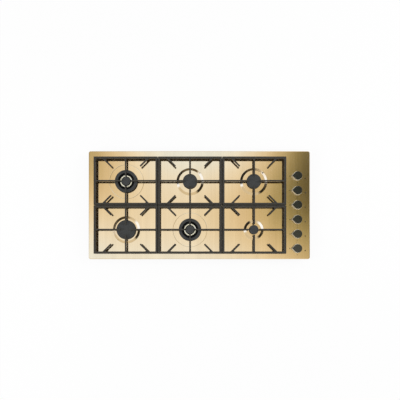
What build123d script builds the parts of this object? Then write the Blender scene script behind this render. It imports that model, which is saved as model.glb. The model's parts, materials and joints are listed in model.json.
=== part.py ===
from build123d import *
import os
from math import atan2, cos, radians, sin, sqrt, tan

os.makedirs("parts", exist_ok=True)

# A built-in gas cooktop with six burners, in millimetres. The origin is under the middle of the top
# plate, on the surface that the casing stands on. +X is to the right, +Y to the back, +Z up.

OVERCUT = 1.0
FIT_GAP = 0.3
QUARTER_ARC = 1 - sqrt(0.5)

# ---- top plate
PLATE_WIDTH = 1080.0
PLATE_DEPTH = 527.0
PLATE_CORNER = 10.0
SHEET = 1.2
PLATE_TOP = 56.0
PLATE_UNDER = PLATE_TOP - SHEET
RIM_EDGE = 50.5
RIM_ROUND = 2.2
COLLAR_MARGIN = 2.0
STEM_HOLE = 6.0

# ---- seal and tray
WORKTOP = 50.0
SEAL_WIDTH = 8.0
SEAL_GAP = 1.2
SEAL_CORNER = 1.0
TRAY_WIDTH = 1036.0
TRAY_DEPTH = 484.0
TRAY_SHEET = 1.0
TRAY_CORNER = 8.0
TRAY_FLANGE = 9.0
FLANGE_TOP = PLATE_UNDER
RECESS_X = 436.0
RECESS_Y = 180.0
RECESS_TOP = 24.0
LOUVRE_XS = (-200.0, 110.0)
LOUVRE_FIRST_Y = -30.0
LOUVRE_PITCH = 12.0
LOUVRE_COUNT = 6
LOUVRE_LENGTH = 46.0
LOUVRE_WIDTH = 4.0

# ---- studs under the plate, and their nuts
STUD_RADIUS = 2.0
STUD_HOLE = 2.25
FLANGE_STUD_LENGTH = 4.0
FLANGE_STUD_XS = (-480.0, -240.0, 240.0, 480.0)
FLANGE_STUD_YS = (-90.0, 90.0)
BURNER_STUD_LENGTH = 6.5
BURNER_STUDS = 3
STUD_OUTSIDE_CAP = 1.5
M4_NUT_SIZE = 7.0
M4_NUT_HEIGHT = 3.2
M4_NUT_HOLE = 2.05

# ---- clamps
CLAMP_XS = (-400.0, 0.0, 400.0)
CLAMP_WIDTH = 22.0
CLAMP_SHEET = 2.0
CLAMP_LIP = 13.0
CLAMP_FOOT = 9.0
CLAMP_TOP = 41.0
CLAMP_HOLE = 2.6
CLAMP_SLOT_LENGTH = 20.0
CLAMP_SLOT_WIDTH = 5.4
SCREW_HEAD_RADIUS = 4.6
SCREW_HEAD_HEIGHT = 2.6
SCREW_RADIUS = 2.4
SCREW_LENGTH = 8.0
SCREW_DRIVE = 1.6
SCREW_DRIVE_FLOOR = 1.2

# ---- burners: name, kind, column and row, and the side from which the gas pipe arrives
COLUMNS = (-355.0, -45.0, 265.0)
ROWS = (-120.5, 114.5)
BURNERS = {
    "back_left": ("wok", COLUMNS[0], ROWS[1], 90),
    "back_middle": ("semi_rapid", COLUMNS[1], ROWS[1], -90),
    "back_right": ("semi_rapid", COLUMNS[2], ROWS[1], 0),
    "front_left": ("rapid", COLUMNS[0], ROWS[0], -90),
    "front_middle": ("wok", COLUMNS[1], ROWS[0], -90),
    "front_right": ("auxiliary", COLUMNS[2], ROWS[0], 0),
}
CAP_RADIUS = {"auxiliary": 22.5, "semi_rapid": 35.5, "rapid": 47.0, "wok": 54.5}
COLLAR_RADII = {"auxiliary": (36.0, 47.5), "semi_rapid": (54.5, 65.5), "rapid": (54.5, 65.5)}
COLLAR_HEIGHT = 4.0
WOK_RING_RADIUS = 83.0
WOK_RING_WIDTH = 2.0
WOK_RING_DEPTH = 0.5
PLATE_HOLE_INSIDE_CAP = 3.0
FLANGE_OUTSIDE_CAP = 6.0

# ---- burner body: flange, funnel, mixing tube and injector holder
BODY_WALL = 2.5
NECK_TOP = PLATE_TOP + 5.0
NECK_INSIDE_CAP = 12.0
FUNNEL_TOP = 6.0
FUNNEL_FOOT = 14.0
FUNNEL_WALL = 1.0
MIXER_RADIUS = 9.0
MIXER_BORE = 6.5
MIXER_FOOT = 27.0
BLOCK = 12.0
BLOCK_FOOT = 9.0
BLOCK_TOP = 21.0
BODY_LEG_WIDTH = 9.0
BODY_LEG_DEPTH = 4.0
BODY_LEG_Y = 13.5
INJECTOR_RADIUS = 4.0
INJECTOR_THREAD = 3.0
INJECTOR_HEX = 7.8
INJECTOR_HEX_HEIGHT = 2.4
INJECTOR_TIP_RADIUS = 2.2
INJECTOR_TIP_HEIGHT = 4.6
INJECTOR_JET = 0.6

# ---- flame spreader
WALL_INSIDE_CAP = 2.5
SPREADER_BASE = 2.0
SPREADER_LAP = 6.0
SPREADER_HEIGHT = 10.0
SPREADER_WALL = 4.5
SLOT_WIDTH = 1.6
SLOT_DEPTH = 5.5
SLOT_COUNT = {"auxiliary": 14, "semi_rapid": 22, "rapid": 30, "wok": 36}
CAP_SEAT = NECK_TOP + SPREADER_BASE + SPREADER_HEIGHT

# ---- caps
CAP_THICKNESS = 4.6
CAP_DOME = 1.0
CAP_EDGE = 1.6
CAP_CHAMFER = 0.6
CAP_LIP = 3.0
CAP_LIP_WALL = 2.0
RING_CAP_CHAMFER = 1.5

# ---- dual-crown burner
OUTER_CAP_INSIDE = 40.0
OUTER_CROWN_INSIDE = 43.0
OUTER_SLOT_START = 3.0
DUAL_THROAT = 22.0
CONE_FOOT_RADIUS = 31.0
CONE_SHOULDER_RADIUS = 28.5
CONE_TOP_RADIUS = 24.0
CONE_EDGE = 6.0
CONE_SHOULDER = 9.0
CONE_HEIGHT = 11.0
CONE_THROAT = 14.0
CONE_BORE = 17.0
CONE_FLOOR = 3.0
CONE_SLOTS = 20
CONE_SLOT_DEPTH = 5.0
INNER_CAP_RADIUS = 20.5

# ---- gas supply
PIPE_RADIUS = 4.0
PIPE_BORE = 3.0
PIPE_Z = 15.0
PIPE_BEND = 26.0
UNION_LENGTH = 9.0
UNION_SIZE = 14.0
UNION_HOLE = 4.1
TAP_X = 478.0
TAP_PITCH = 70.6
TAP_FIRST_Y = 141.5
TAP_BURNERS = ("back_left", "back_right", "back_middle", "front_right", "front_middle", "front_left")
# A bent pipe leaves its tap's line at the first x, and meets the line of its third value at the second
PIPE_BENDS = {
    "back_left": (420.0, 375.0, 184.0),
    "back_right": (405.0, 350.0, ROWS[1]),
    "front_right": (405.0, 350.0, ROWS[0]),
    "front_middle": (405.0, 355.0, -188.0),
}
TAP_RADIUS = 10.0
TAP_FOOT = 8.0
TAP_TOP = 40.0
TAP_BORE = 6.5
TAP_FLOOR = 19.0
OUTLET_RADIUS = 6.0
OUTLET_REACH = 6.0
MAGNET_RADIUS = 3.5
MAGNET_REACH = 4.0
BRANCH_ROOT = 6.0
PORT_RADIUS = 2.5
BONNET_FLANGE = 3.0
BONNET_RADIUS = 7.0
BONNET_TOP = 48.0
MANIFOLD_SIZE = 14.0
MANIFOLD_WALL = 1.5
MANIFOLD_Z = 34.0
MANIFOLD_X = TAP_X + TAP_RADIUS + 4.0 + MANIFOLD_SIZE / 2
MANIFOLD_FRONT = -232.0
MANIFOLD_BACK = 196.0
MANIFOLD_FEET = (-176.2, 36.0)
FOOT_SHEET = 3.0
FOOT_HEIGHT = 2.0
FOOT_LENGTH = 20.0
INLET_Y = 212.0
INLET_RADIUS = 10.478
INLET_FOOT = 4.0
INLET_LENGTH = 16.0
INLET_BORE = 6.0
INLET_HOLE = 13.0
ELBOW_WIDTH = 26.0
ELBOW_DEPTH = 32.0
ELBOW_FOOT = 27.0
ELBOW_NECK = 12.0
ELBOW_PASSAGE = 4.5

# ---- stems and knobs
PLUG_TOP = 36.0
PLUG_CLEARANCE = 0.05
PLUG_PORT = 1.2
PLUG_PORT_Z = 20.6
PUSH_TRAVEL = 3.5
SOCKET_SPARE = 0.5
STEM_RADIUS = 4.0
STEM_FOOT = 26.0
STEM_KEY_TOP = PLUG_TOP + PUSH_TRAVEL + SOCKET_SPARE
STEM_SHOULDER = PLATE_TOP + 6.0
STEM_PIN = 3.0
STEM_TOP = PLATE_TOP + 20.0
STEM_FLAT = 0.8
KNOB_RADIUS = 21.5
KNOB_BEAK = 28.0
KNOB_BEAK_RADIUS = 3.2
KNOB_BEAK_LEAST = 0.5
KNOB_FOOT = PLATE_TOP + 4.5
KNOB_TOP = PLATE_TOP + 25.0
KNOB_WALL = 2.8
KNOB_ROOF = 4.0
KNOB_HUB = 6.5
KNOB_EDGE = 1.2
KNOB_DRAFT = 3.0
KNOB_FIT = 0.02

# ---- grates
GRATE_WIDTH = 309.0
GRATE_DEPTH = 234.0
GRATE_TOP = PLATE_TOP + 42.0
GRATE_CORNER = 4.0
FRAME_TOP = GRATE_TOP - 1.2
BAR_TOP = 9.8
BAR_FOOT = 11.4
BAR_HEIGHT = 14.8
FINGER_TOP = 6.8
FINGER_FOOT = 7.6
FINGER_HEIGHT = 10.5
FINGER_END_INSET = 1.5
FINGER_REACH = 25.0
DIAGONAL_START = 70.0
CAST_ROUND = 1.4
LEG_SIZE = 11.0
LEG_INSET = 0.3
LEG_FOOT = 8.0
PAD_HEIGHT = 3.0

# ---- electrics
SPARK_ANGLES = {"back": -135.0, "front": 135.0}
SENSOR_ANGLES = {"back": -45.0, "front": 45.0}
PROBE_INSIDE_CAP = 7.0
PROBE_CLEARANCE = 0.1
SPREADER_PROBE_CLEARANCE = 1.2
SPARK_RADIUS = 3.0
SPARK_FOOT = PLATE_TOP - 7.0
SPARK_TOP = NECK_TOP + 5.0
ELECTRODE_RADIUS = 0.8
ELECTRODE_TOP = NECK_TOP + 8.5
SLEEVE_RADIUS = 2.8
SLEEVE_TOP = NECK_TOP + 2.0
SENSOR_RADIUS = 1.8
SENSOR_FOOT = PLATE_TOP - 17.0
SENSOR_TOP = NECK_TOP + 8.0
LEAD_BEND = 2.4
SPARK_LEAD_RADIUS = 1.2
SPARK_RUN_Z = 44.0
SPARK_LINE_Z = 36.0
SPARK_RISE = 5.0
SPARK_LINE_Y = 22.0
SPARK_LINE_PITCH = 5.0
SPARK_ORDER = ("front_right", "back_right", "front_middle", "back_middle", "front_left", "back_left")
SENSOR_LEAD_RADIUS = 1.0
SENSOR_RUN_Z = 31.0
SENSOR_LINE_Z = 23.0
SENSOR_LINE_Y = -18.0
SENSOR_LINE_PITCH = -6.0
SENSOR_TURN_XS = (408.0, 420.0, 432.0, 432.0, 420.0, 408.0)
MAGNET_Z = SENSOR_LINE_Z + 3.0
MODULE_X = 366.0
MODULE_Y = 214.0
MODULE_WIDTH = 70.0
MODULE_DEPTH = 34.0
MODULE_TOP = TRAY_SHEET + 26.0
MODULE_CORNER = 3.0
TERMINAL_RADIUS = 3.0
TERMINAL_TOP = MODULE_TOP + 4.0
TERMINAL_PITCH = 10.0
TERMINAL_INSET_X = 6.0
TERMINAL_INSET_Y = 8.0
GLAND_Y = 192.0
GLAND_Z = 12.0
GLAND_BORE = 3.5
GLAND_RADIUS = 6.0
GLAND_HOLE = 6.3
GLAND_NUT_SIZE = 17.0
GLAND_NUT_LENGTH = 5.0
GLAND_DOME_RADIUS = 6.6
GLAND_LENGTH = 13.0
GLAND_INSIDE = 8.0
LOCKNUT_RADIUS = 8.0
LOCKNUT_HEIGHT = 3.0


def save(name, solids):
    """Write one sub-part, a solid or a group of like solids, to its own STEP file."""
    group = list(solids) if isinstance(solids, (list, tuple)) else [solids]
    shape = group[0] if len(group) == 1 else Compound(children=group)
    export_step(shape, f"parts/{name}.step")


def one(shape):
    """The single solid that a construction should give."""
    found = shape.solids()
    if len(found) != 1:
        raise ValueError(f"expected one solid, found {len(found)}")
    return found[0]


def rod(radius, low, high, x=0.0, y=0.0):
    """An upright cylinder between two heights."""
    return Pos(x, y, low) * extrude(Circle(radius), high - low)


def level_rod(radius, start, end, y, z):
    """A cylinder along X between two places."""
    return Pos(start, y, z) * Rot(0, 90, 0) * extrude(Circle(radius), end - start)


def slab(width, depth, low, high, x=0.0, y=0.0):
    """An upright box between two heights."""
    return Pos(x, y, low) * extrude(Rectangle(width, depth), high - low)


def spun(points):
    """A solid of revolution about Z from (radius, height) points."""
    profile = make_face(Polyline(*[(r, 0, z) for r, z in points], close=True))
    return revolve(profile, Axis.Z)


def ring(outer, inner, low, high):
    """An upright tube between two heights."""
    return spun([(inner, low), (outer, low), (outer, high), (inner, high)])


def hexagon_nut(size, hole, low, high):
    """A hexagonal nut with its axis along Z."""
    outline = RegularPolygon(size / 2, 6, major_radius=False)
    return one(Pos(0, 0, low) * extrude(outline - Circle(hole), high - low))


def keyed(radius, low, high, flat):
    """A round rod with one flat, which carries the turn."""
    return rod(radius, low, high) - slab(2 * radius, 4 * radius, low, high, 2 * radius - flat, 0)


def polar(centre_x, centre_y, radius, angle):
    """The plan point at a distance and an angle from a centre."""
    return centre_x + radius * cos(radians(angle)), centre_y + radius * sin(radians(angle))


def swept_tube(points, bend, outer, inner=0.0):
    """A round tube, or a solid round lead, along straight runs joined by arcs."""
    path = FilletPolyline(*points, radius=bend)
    section = Plane(origin=path @ 0, z_dir=path % 0)
    tube = sweep(section * Circle(outer), path=path)
    if inner:
        tube -= sweep(section * Circle(inner), path=path)
    return one(tube)


# ---------------------------------------------------------------- places that several parts share
def tap_ys():
    return [TAP_FIRST_Y - TAP_PITCH * i for i in range(len(TAP_BURNERS))]


def burners_of(kind):
    """(name, x, y, pipe side) of each burner of one kind."""
    return [(name, x, y, side) for name, (k, x, y, side) in BURNERS.items() if k == kind]


def deck(kind):
    """Height of the plate's top just under a burner."""
    return PLATE_TOP + (COLLAR_HEIGHT if kind in COLLAR_RADII else 0.0)


def plate_hole(kind):
    """Radius of the hole in the plate under a burner."""
    return CAP_RADIUS[kind] - PLATE_HOLE_INSIDE_CAP


def stud_angles(side):
    return [side + 60 + 360 / BURNER_STUDS * i for i in range(BURNER_STUDS)]


def flange_stud_places():
    """Where the tray's flange is held: along the front and back, and at both ends."""
    y = TRAY_DEPTH / 2 + TRAY_FLANGE / 2
    x = TRAY_WIDTH / 2 + TRAY_FLANGE / 2
    long_sides = [(side_x, side_y) for side_x in FLANGE_STUD_XS for side_y in (-y, y)]
    ends = [(side_x, side_y) for side_x in (-x, x) for side_y in FLANGE_STUD_YS]
    return long_sides + ends


def burner_stud_places():
    """(x, y, height of the plate's underside) of each stud that holds a burner."""
    places = []
    for kind, x, y, side in BURNERS.values():
        for angle in stud_angles(side):
            place = polar(x, y, CAP_RADIUS[kind] + STUD_OUTSIDE_CAP, angle)
            places.append((*place, deck(kind) - SHEET))
    return places


def probe_place(name, angles):
    """Plan point of a burner's spark plug or flame sensor, on the side of the cooktop's middle."""
    kind, x, y, _ = BURNERS[name]
    return polar(x, y, CAP_RADIUS[kind] - PROBE_INSIDE_CAP, angles[name.split("_")[0]])


def terminal_place(index):
    """Plan point of one of the spark module's terminals, counted from the right."""
    x = MODULE_X + MODULE_WIDTH / 2 - TERMINAL_INSET_X - TERMINAL_PITCH * index
    return x, MODULE_Y - MODULE_DEPTH / 2 + TERMINAL_INSET_Y


# ---------------------------------------------------------------- plate and casing
def collar(kind):
    """A pressed collar: a flat top on a sloping wall, as thick as the plate."""
    inner, outer = COLLAR_RADII[kind]
    hole = plate_hole(kind)
    top = PLATE_TOP + COLLAR_HEIGHT
    edge = outer + COLLAR_MARGIN
    shift = SHEET * tan(atan2(COLLAR_HEIGHT, outer - inner) / 2)
    return spun([
        (hole, top - SHEET), (inner - shift, top - SHEET), (outer - shift, PLATE_UNDER),
        (edge, PLATE_UNDER), (edge, PLATE_TOP), (outer, PLATE_TOP), (inner, top), (hole, top),
    ])


def groove():
    """The cut of the shallow ring round a dual-crown burner."""
    inner = WOK_RING_RADIUS - WOK_RING_WIDTH / 2
    outer = WOK_RING_RADIUS + WOK_RING_WIDTH / 2
    return spun([
        (inner, PLATE_TOP + OVERCUT), (inner, PLATE_TOP), (WOK_RING_RADIUS, PLATE_TOP - WOK_RING_DEPTH),
        (outer, PLATE_TOP), (outer, PLATE_TOP + OVERCUT),
    ])


def rolled_block(width, depth, corner, top, edge_radius):
    """A block from the rim's lower edge up, with rounded corners and a rolled upper edge."""
    block = Pos(0, 0, RIM_EDGE) * extrude(RectangleRounded(width, depth, corner), top - RIM_EDGE)
    return fillet(block.faces().sort_by(Axis.Z)[-1].edges(), edge_radius)


def make_top_plate():
    plate = rolled_block(PLATE_WIDTH, PLATE_DEPTH, PLATE_CORNER, PLATE_TOP, RIM_ROUND)
    plate -= rolled_block(PLATE_WIDTH - 2 * SHEET, PLATE_DEPTH - 2 * SHEET, PLATE_CORNER - SHEET,
                          PLATE_UNDER, RIM_ROUND - SHEET)
    for kind, x, y, _ in BURNERS.values():
        if kind in COLLAR_RADII:
            plate -= rod(COLLAR_RADII[kind][1], RIM_EDGE, GRATE_TOP, x, y)
            plate += Pos(x, y, 0) * collar(kind)
        else:
            plate -= rod(plate_hole(kind), RIM_EDGE, GRATE_TOP, x, y)
            plate -= Pos(x, y, 0) * groove()
    for y in tap_ys():
        plate -= rod(STEM_HOLE, RIM_EDGE, GRATE_TOP, TAP_X, y)
    for x, y in flange_stud_places():
        plate += rod(STUD_RADIUS, PLATE_UNDER - FLANGE_STUD_LENGTH, PLATE_UNDER, x, y)
    for x, y, under in burner_stud_places():
        plate += rod(STUD_RADIUS, under - BURNER_STUD_LENGTH, under, x, y)
    return one(plate)


def make_seal():
    outer_width = PLATE_WIDTH - 2 * (SHEET + SEAL_GAP)
    outer_depth = PLATE_DEPTH - 2 * (SHEET + SEAL_GAP)
    outline = RectangleRounded(outer_width, outer_depth, PLATE_CORNER - SHEET - SEAL_GAP)
    hole = RectangleRounded(outer_width - 2 * SEAL_WIDTH, outer_depth - 2 * SEAL_WIDTH, SEAL_CORNER)
    return one(Pos(0, 0, WORKTOP) * extrude(outline - hole, PLATE_UNDER - WORKTOP))


def corner_block(x, y, top):
    """The back right corner of the casing beyond two walls, up to a height."""
    width = TRAY_WIDTH / 2 - x + TRAY_FLANGE
    depth = TRAY_DEPTH / 2 - y + TRAY_FLANGE
    return slab(width, depth, 0, top, x + width / 2, y + depth / 2)


def make_tray():
    """Folded casing with a flange under the plate and a recess for the gas and mains connections."""
    body = extrude(RectangleRounded(TRAY_WIDTH, TRAY_DEPTH, TRAY_CORNER), FLANGE_TOP)
    hollow = Pos(0, 0, TRAY_SHEET) * extrude(
        RectangleRounded(TRAY_WIDTH - 2 * TRAY_SHEET, TRAY_DEPTH - 2 * TRAY_SHEET,
                         TRAY_CORNER - TRAY_SHEET), FLANGE_TOP)
    body -= corner_block(RECESS_X, RECESS_Y, RECESS_TOP)
    hollow -= corner_block(RECESS_X - TRAY_SHEET, RECESS_Y - TRAY_SHEET, RECESS_TOP + TRAY_SHEET)
    flange = Pos(0, 0, FLANGE_TOP - TRAY_SHEET) * extrude(
        RectangleRounded(TRAY_WIDTH + 2 * TRAY_FLANGE, TRAY_DEPTH + 2 * TRAY_FLANGE, TRAY_CORNER),
        TRAY_SHEET)
    tray = (body + flange) - hollow
    for x, y in flange_stud_places():
        tray -= rod(STUD_HOLE, FLANGE_TOP - 2 * TRAY_SHEET, FLANGE_TOP + OVERCUT, x, y)
    tray -= rod(INLET_HOLE, RECESS_TOP - OVERCUT, RECESS_TOP + TRAY_SHEET + OVERCUT, MANIFOLD_X, INLET_Y)
    tray -= level_rod(GLAND_HOLE, RECESS_X - TRAY_SHEET - OVERCUT, RECESS_X + OVERCUT, GLAND_Y, GLAND_Z)
    for x in CLAMP_XS:
        for side in (-1, 1):
            hole = Pos(x, side * TRAY_DEPTH / 2, (CLAMP_FOOT + CLAMP_TOP) / 2) * Rot(90, 0, 0)
            tray -= hole * extrude(Circle(CLAMP_HOLE), TRAY_SHEET + OVERCUT, both=True)
    for x in LOUVRE_XS:
        for row in range(LOUVRE_COUNT):
            y = LOUVRE_FIRST_Y + LOUVRE_PITCH * row
            tray -= slab(LOUVRE_LENGTH, LOUVRE_WIDTH, -OVERCUT, TRAY_SHEET + OVERCUT, x, y)
    return one(tray)


def make_fixing_nuts():
    """The nuts on the studs that are welded under the plate."""
    places = [(x, y, FLANGE_TOP - TRAY_SHEET) for x, y in flange_stud_places()]
    places += [(x, y, under - BODY_WALL) for x, y, under in burner_stud_places()]
    return [Pos(x, y, 0) * hexagon_nut(M4_NUT_SIZE, M4_NUT_HOLE, top - M4_NUT_HEIGHT, top)
            for x, y, top in places]


def make_clamps():
    """Slotted angles that hook under the worktop, at the front and back of the tray."""
    clamps, screws = [], []
    middle = (CLAMP_FOOT + CLAMP_TOP) / 2
    slot_outline = SlotOverall(CLAMP_SLOT_LENGTH, CLAMP_SLOT_WIDTH, rotation=90)
    for x in CLAMP_XS:
        for side in (-1, 1):
            wall = side * TRAY_DEPTH / 2
            upright = slab(CLAMP_WIDTH, CLAMP_SHEET, CLAMP_FOOT, CLAMP_TOP,
                           x, wall + side * CLAMP_SHEET / 2)
            lip = slab(CLAMP_WIDTH, CLAMP_LIP, CLAMP_FOOT, CLAMP_FOOT + CLAMP_SHEET,
                       x, wall + side * CLAMP_LIP / 2)
            slot = Pos(x, wall, middle) * Rot(90, 0, 0) * extrude(slot_outline, 2 * CLAMP_SHEET, both=True)
            clamps.append(one(upright + lip - slot))
            outward = Pos(x, wall + side * CLAMP_SHEET, middle) * Rot(-90 * side, 0, 0)
            head = outward * extrude(Circle(SCREW_HEAD_RADIUS), SCREW_HEAD_HEIGHT)
            shank = outward * Pos(0, 0, -SCREW_LENGTH) * extrude(Circle(SCREW_RADIUS), SCREW_LENGTH)
            drive = outward * Pos(0, 0, SCREW_DRIVE_FLOOR) * extrude(
                RegularPolygon(SCREW_DRIVE, 6), SCREW_HEAD_HEIGHT)
            screws.append(one(head + shank - drive))
    return clamps, screws


# ---------------------------------------------------------------- burners
def make_burner_body(kind):
    """Funnel-shaped body: flange, gas chamber, mixing tube, and the injector holder below it."""
    neck = CAP_RADIUS[kind] - NECK_INSIDE_CAP
    flange = CAP_RADIUS[kind] + FLANGE_OUTSIDE_CAP
    flange_top = deck(kind) - SHEET
    flange_foot = flange_top - BODY_WALL
    outside = spun([
        (0, MIXER_FOOT), (MIXER_RADIUS, MIXER_FOOT), (MIXER_RADIUS, flange_foot - FUNNEL_FOOT),
        (neck, flange_foot - FUNNEL_TOP), (neck, flange_foot), (flange, flange_foot),
        (flange, flange_top), (neck, flange_top), (neck, NECK_TOP), (0, NECK_TOP),
    ])
    cavity = spun([
        (0, MIXER_FOOT - OVERCUT), (MIXER_BORE, MIXER_FOOT - OVERCUT),
        (MIXER_BORE, flange_foot - FUNNEL_FOOT + FUNNEL_WALL),
        (neck - BODY_WALL, flange_foot - FUNNEL_TOP + FUNNEL_WALL),
        (neck - BODY_WALL, NECK_TOP + OVERCUT), (0, NECK_TOP + OVERCUT),
    ])
    body = outside + slab(2 * BLOCK, 2 * BLOCK, BLOCK_FOOT, BLOCK_TOP)
    for y in (-BODY_LEG_Y, BODY_LEG_Y):
        body += slab(BODY_LEG_WIDTH, BODY_LEG_DEPTH, BLOCK_FOOT, flange_foot, 0, y)
    body -= cavity
    body -= rod(INJECTOR_RADIUS, PIPE_Z - PIPE_BORE, BLOCK_TOP + OVERCUT)
    body -= level_rod(PIPE_BORE, 0, BLOCK + OVERCUT, 0, PIPE_Z)
    for angle in stud_angles(0):
        x, y = polar(0, 0, CAP_RADIUS[kind] + STUD_OUTSIDE_CAP, angle)
        body -= rod(STUD_HOLE, flange_foot - OVERCUT, flange_top + OVERCUT, x, y)
    return body


def with_probe_holes(shape, name, radius, low, high):
    """Cut the two upright holes through which the spark plug and the flame sensor pass."""
    for angles in (SPARK_ANGLES, SENSOR_ANGLES):
        shape -= rod(radius, low, high, *probe_place(name, angles))
    return shape


def make_burner_bodies(kind):
    bodies = []
    for name, x, y, side in burners_of(kind):
        body = Pos(x, y, 0) * Rot(0, 0, side) * make_burner_body(kind)
        bodies.append(one(with_probe_holes(body, name, SPARK_RADIUS + PROBE_CLEARANCE,
                                           MIXER_FOOT, deck(kind))))
    return bodies


def make_injectors():
    """Brass nozzles, one in each injector holder."""
    nozzle = Pos(0, 0, BLOCK_TOP) * extrude(
        RegularPolygon(INJECTOR_HEX / 2, 6, major_radius=False), INJECTOR_HEX_HEIGHT)
    nozzle += rod(INJECTOR_RADIUS, BLOCK_TOP - INJECTOR_THREAD, BLOCK_TOP)
    nozzle += rod(INJECTOR_TIP_RADIUS, BLOCK_TOP, BLOCK_TOP + INJECTOR_TIP_HEIGHT)
    nozzle -= rod(INJECTOR_JET, BLOCK_TOP - INJECTOR_THREAD - OVERCUT,
                  BLOCK_TOP + INJECTOR_TIP_HEIGHT + OVERCUT)
    return [one(Pos(x, y, 0) * nozzle) for _, x, y, _ in BURNERS.values()]


def crown_slots(count, inner, outer, low, high):
    """Radial cuts for the flame ports."""
    cut = Pos((inner + outer) / 2, 0, low) * extrude(Rectangle(outer - inner, SLOT_WIDTH), high - low)
    return [Rot(0, 0, 360 * (i + 0.5) / count) * cut for i in range(count)]


def make_spreader(kind):
    """Flame spreader: a flat base and a slotted wall, open at the top."""
    wall = CAP_RADIUS[kind] - WALL_INSIDE_CAP
    base_top = NECK_TOP + SPREADER_BASE
    if kind == "wok":
        throat = DUAL_THROAT
        inside = OUTER_CROWN_INSIDE
        slot_start = inside + OUTER_SLOT_START
    else:
        throat = CAP_RADIUS[kind] - NECK_INSIDE_CAP - SPREADER_LAP
        inside = wall - SPREADER_WALL
        slot_start = inside - OVERCUT
    spreader = spun([
        (throat, NECK_TOP), (wall, NECK_TOP), (wall, CAP_SEAT), (inside, CAP_SEAT),
        (inside, base_top), (throat, base_top),
    ])
    return spreader - crown_slots(SLOT_COUNT[kind], slot_start, wall + OVERCUT,
                                  CAP_SEAT - SLOT_DEPTH, CAP_SEAT + OVERCUT)


def make_spreaders(kind):
    spreaders = []
    for name, x, y, _ in burners_of(kind):
        spreader = Pos(x, y, 0) * make_spreader(kind)
        spreaders.append(one(with_probe_holes(spreader, name, SPARK_RADIUS + SPREADER_PROBE_CLEARANCE,
                                              NECK_TOP - OVERCUT, CAP_SEAT + OVERCUT)))
    return spreaders


def make_inner_crowns():
    """The bright cones in the middle of the dual-crown burners, with their own ports."""
    foot = NECK_TOP + SPREADER_BASE
    top = foot + CONE_HEIGHT
    floor_top = foot + CONE_FLOOR
    crown = spun([
        (CONE_THROAT, foot), (CONE_FOOT_RADIUS, foot), (CONE_FOOT_RADIUS, foot + CONE_EDGE),
        (CONE_SHOULDER_RADIUS, foot + CONE_SHOULDER), (CONE_TOP_RADIUS, top), (CONE_BORE, top),
        (CONE_BORE, floor_top), (CONE_THROAT, floor_top),
    ])
    crown -= crown_slots(CONE_SLOTS, CONE_BORE - OVERCUT, CONE_FOOT_RADIUS + OVERCUT,
                         top - CONE_SLOT_DEPTH, top + OVERCUT)
    return [one(Pos(x, y, 0) * crown) for _, x, y, _ in burners_of("wok")]


def domed_disc(radius, low, lip_radius):
    """A burner cap: a disc with a rounded edge, a faint dome and a locating lip below."""
    top = low + CAP_THICKNESS
    shoulder = top - CAP_DOME
    flat = radius - CAP_EDGE
    dome_radius = (flat ** 2 + CAP_DOME ** 2) / (2 * CAP_DOME)
    half_way = top - dome_radius + sqrt(dome_radius ** 2 - (flat / 2) ** 2)
    edge_middle = (radius - CAP_EDGE * QUARTER_ARC, 0, shoulder - CAP_EDGE * QUARTER_ARC)
    outline = [
        Line((0, 0, low), (radius - CAP_CHAMFER, 0, low)),
        Line((radius - CAP_CHAMFER, 0, low), (radius, 0, low + CAP_CHAMFER)),
        Line((radius, 0, low + CAP_CHAMFER), (radius, 0, shoulder - CAP_EDGE)),
        ThreePointArc((radius, 0, shoulder - CAP_EDGE), edge_middle, (flat, 0, shoulder)),
        ThreePointArc((flat, 0, shoulder), (flat / 2, 0, half_way), (0, 0, top)),
        Line((0, 0, top), (0, 0, low)),
    ]
    disc = revolve(make_face(Wire(outline)), Axis.Z)
    return one(disc + ring(lip_radius, lip_radius - CAP_LIP_WALL, low - CAP_LIP, low))


def ring_cap(outer, inner, low):
    """The outer cap of a dual-crown burner: a flat ring with bevelled upper edges."""
    top = low + CAP_THICKNESS
    shoulder = top - RING_CAP_CHAMFER
    return one(spun([
        (inner, low), (outer, low), (outer, shoulder), (outer - RING_CAP_CHAMFER, top),
        (inner + RING_CAP_CHAMFER, top), (inner, shoulder),
    ]))


def make_caps():
    """Each cap by name; every one lifts off on its own."""
    caps = {}
    for name, (kind, x, y, _) in BURNERS.items():
        if kind == "wok":
            inner_seat = NECK_TOP + SPREADER_BASE + CONE_HEIGHT
            outer_cap = ring_cap(CAP_RADIUS[kind], OUTER_CAP_INSIDE, CAP_SEAT)
            inner_cap = domed_disc(INNER_CAP_RADIUS, inner_seat, CONE_BORE - FIT_GAP)
            caps[f"outer_cap_{name}"] = Pos(x, y, 0) * outer_cap
            caps[f"inner_cap_{name}"] = Pos(x, y, 0) * inner_cap
        else:
            bore = CAP_RADIUS[kind] - WALL_INSIDE_CAP - SPREADER_WALL
            caps[f"cap_{name}"] = Pos(x, y, 0) * domed_disc(CAP_RADIUS[kind], CAP_SEAT, bore - FIT_GAP)
    return caps


# ---------------------------------------------------------------- gas supply
def pipe_route(index):
    """Plan of each feed pipe, from its tap to its burner, as points at the pipes' height."""
    name = TAP_BURNERS[index]
    _, burner_x, burner_y, side = BURNERS[name]
    tap_y = tap_ys()[index]
    start = (TAP_X - TAP_RADIUS - OUTLET_REACH, tap_y)
    end = polar(burner_x, burner_y, BLOCK, side)
    if name not in PIPE_BENDS:
        return [start, (burner_x, tap_y), end]
    leave_x, join_x, line_y = PIPE_BENDS[name]
    route = [start, (leave_x, tap_y), (join_x, line_y)]
    if line_y != burner_y:
        route.append((burner_x, line_y))
    return route + [end]


def nut_along(x, y, z, angle):
    """A union nut with its axis level, starting at a face and pointing along the angle."""
    nut = hexagon_nut(UNION_SIZE, UNION_HOLE, 0, UNION_LENGTH)
    return Pos(x, y, z) * Rot(0, 0, angle) * Rot(0, 90, 0) * nut


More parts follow.
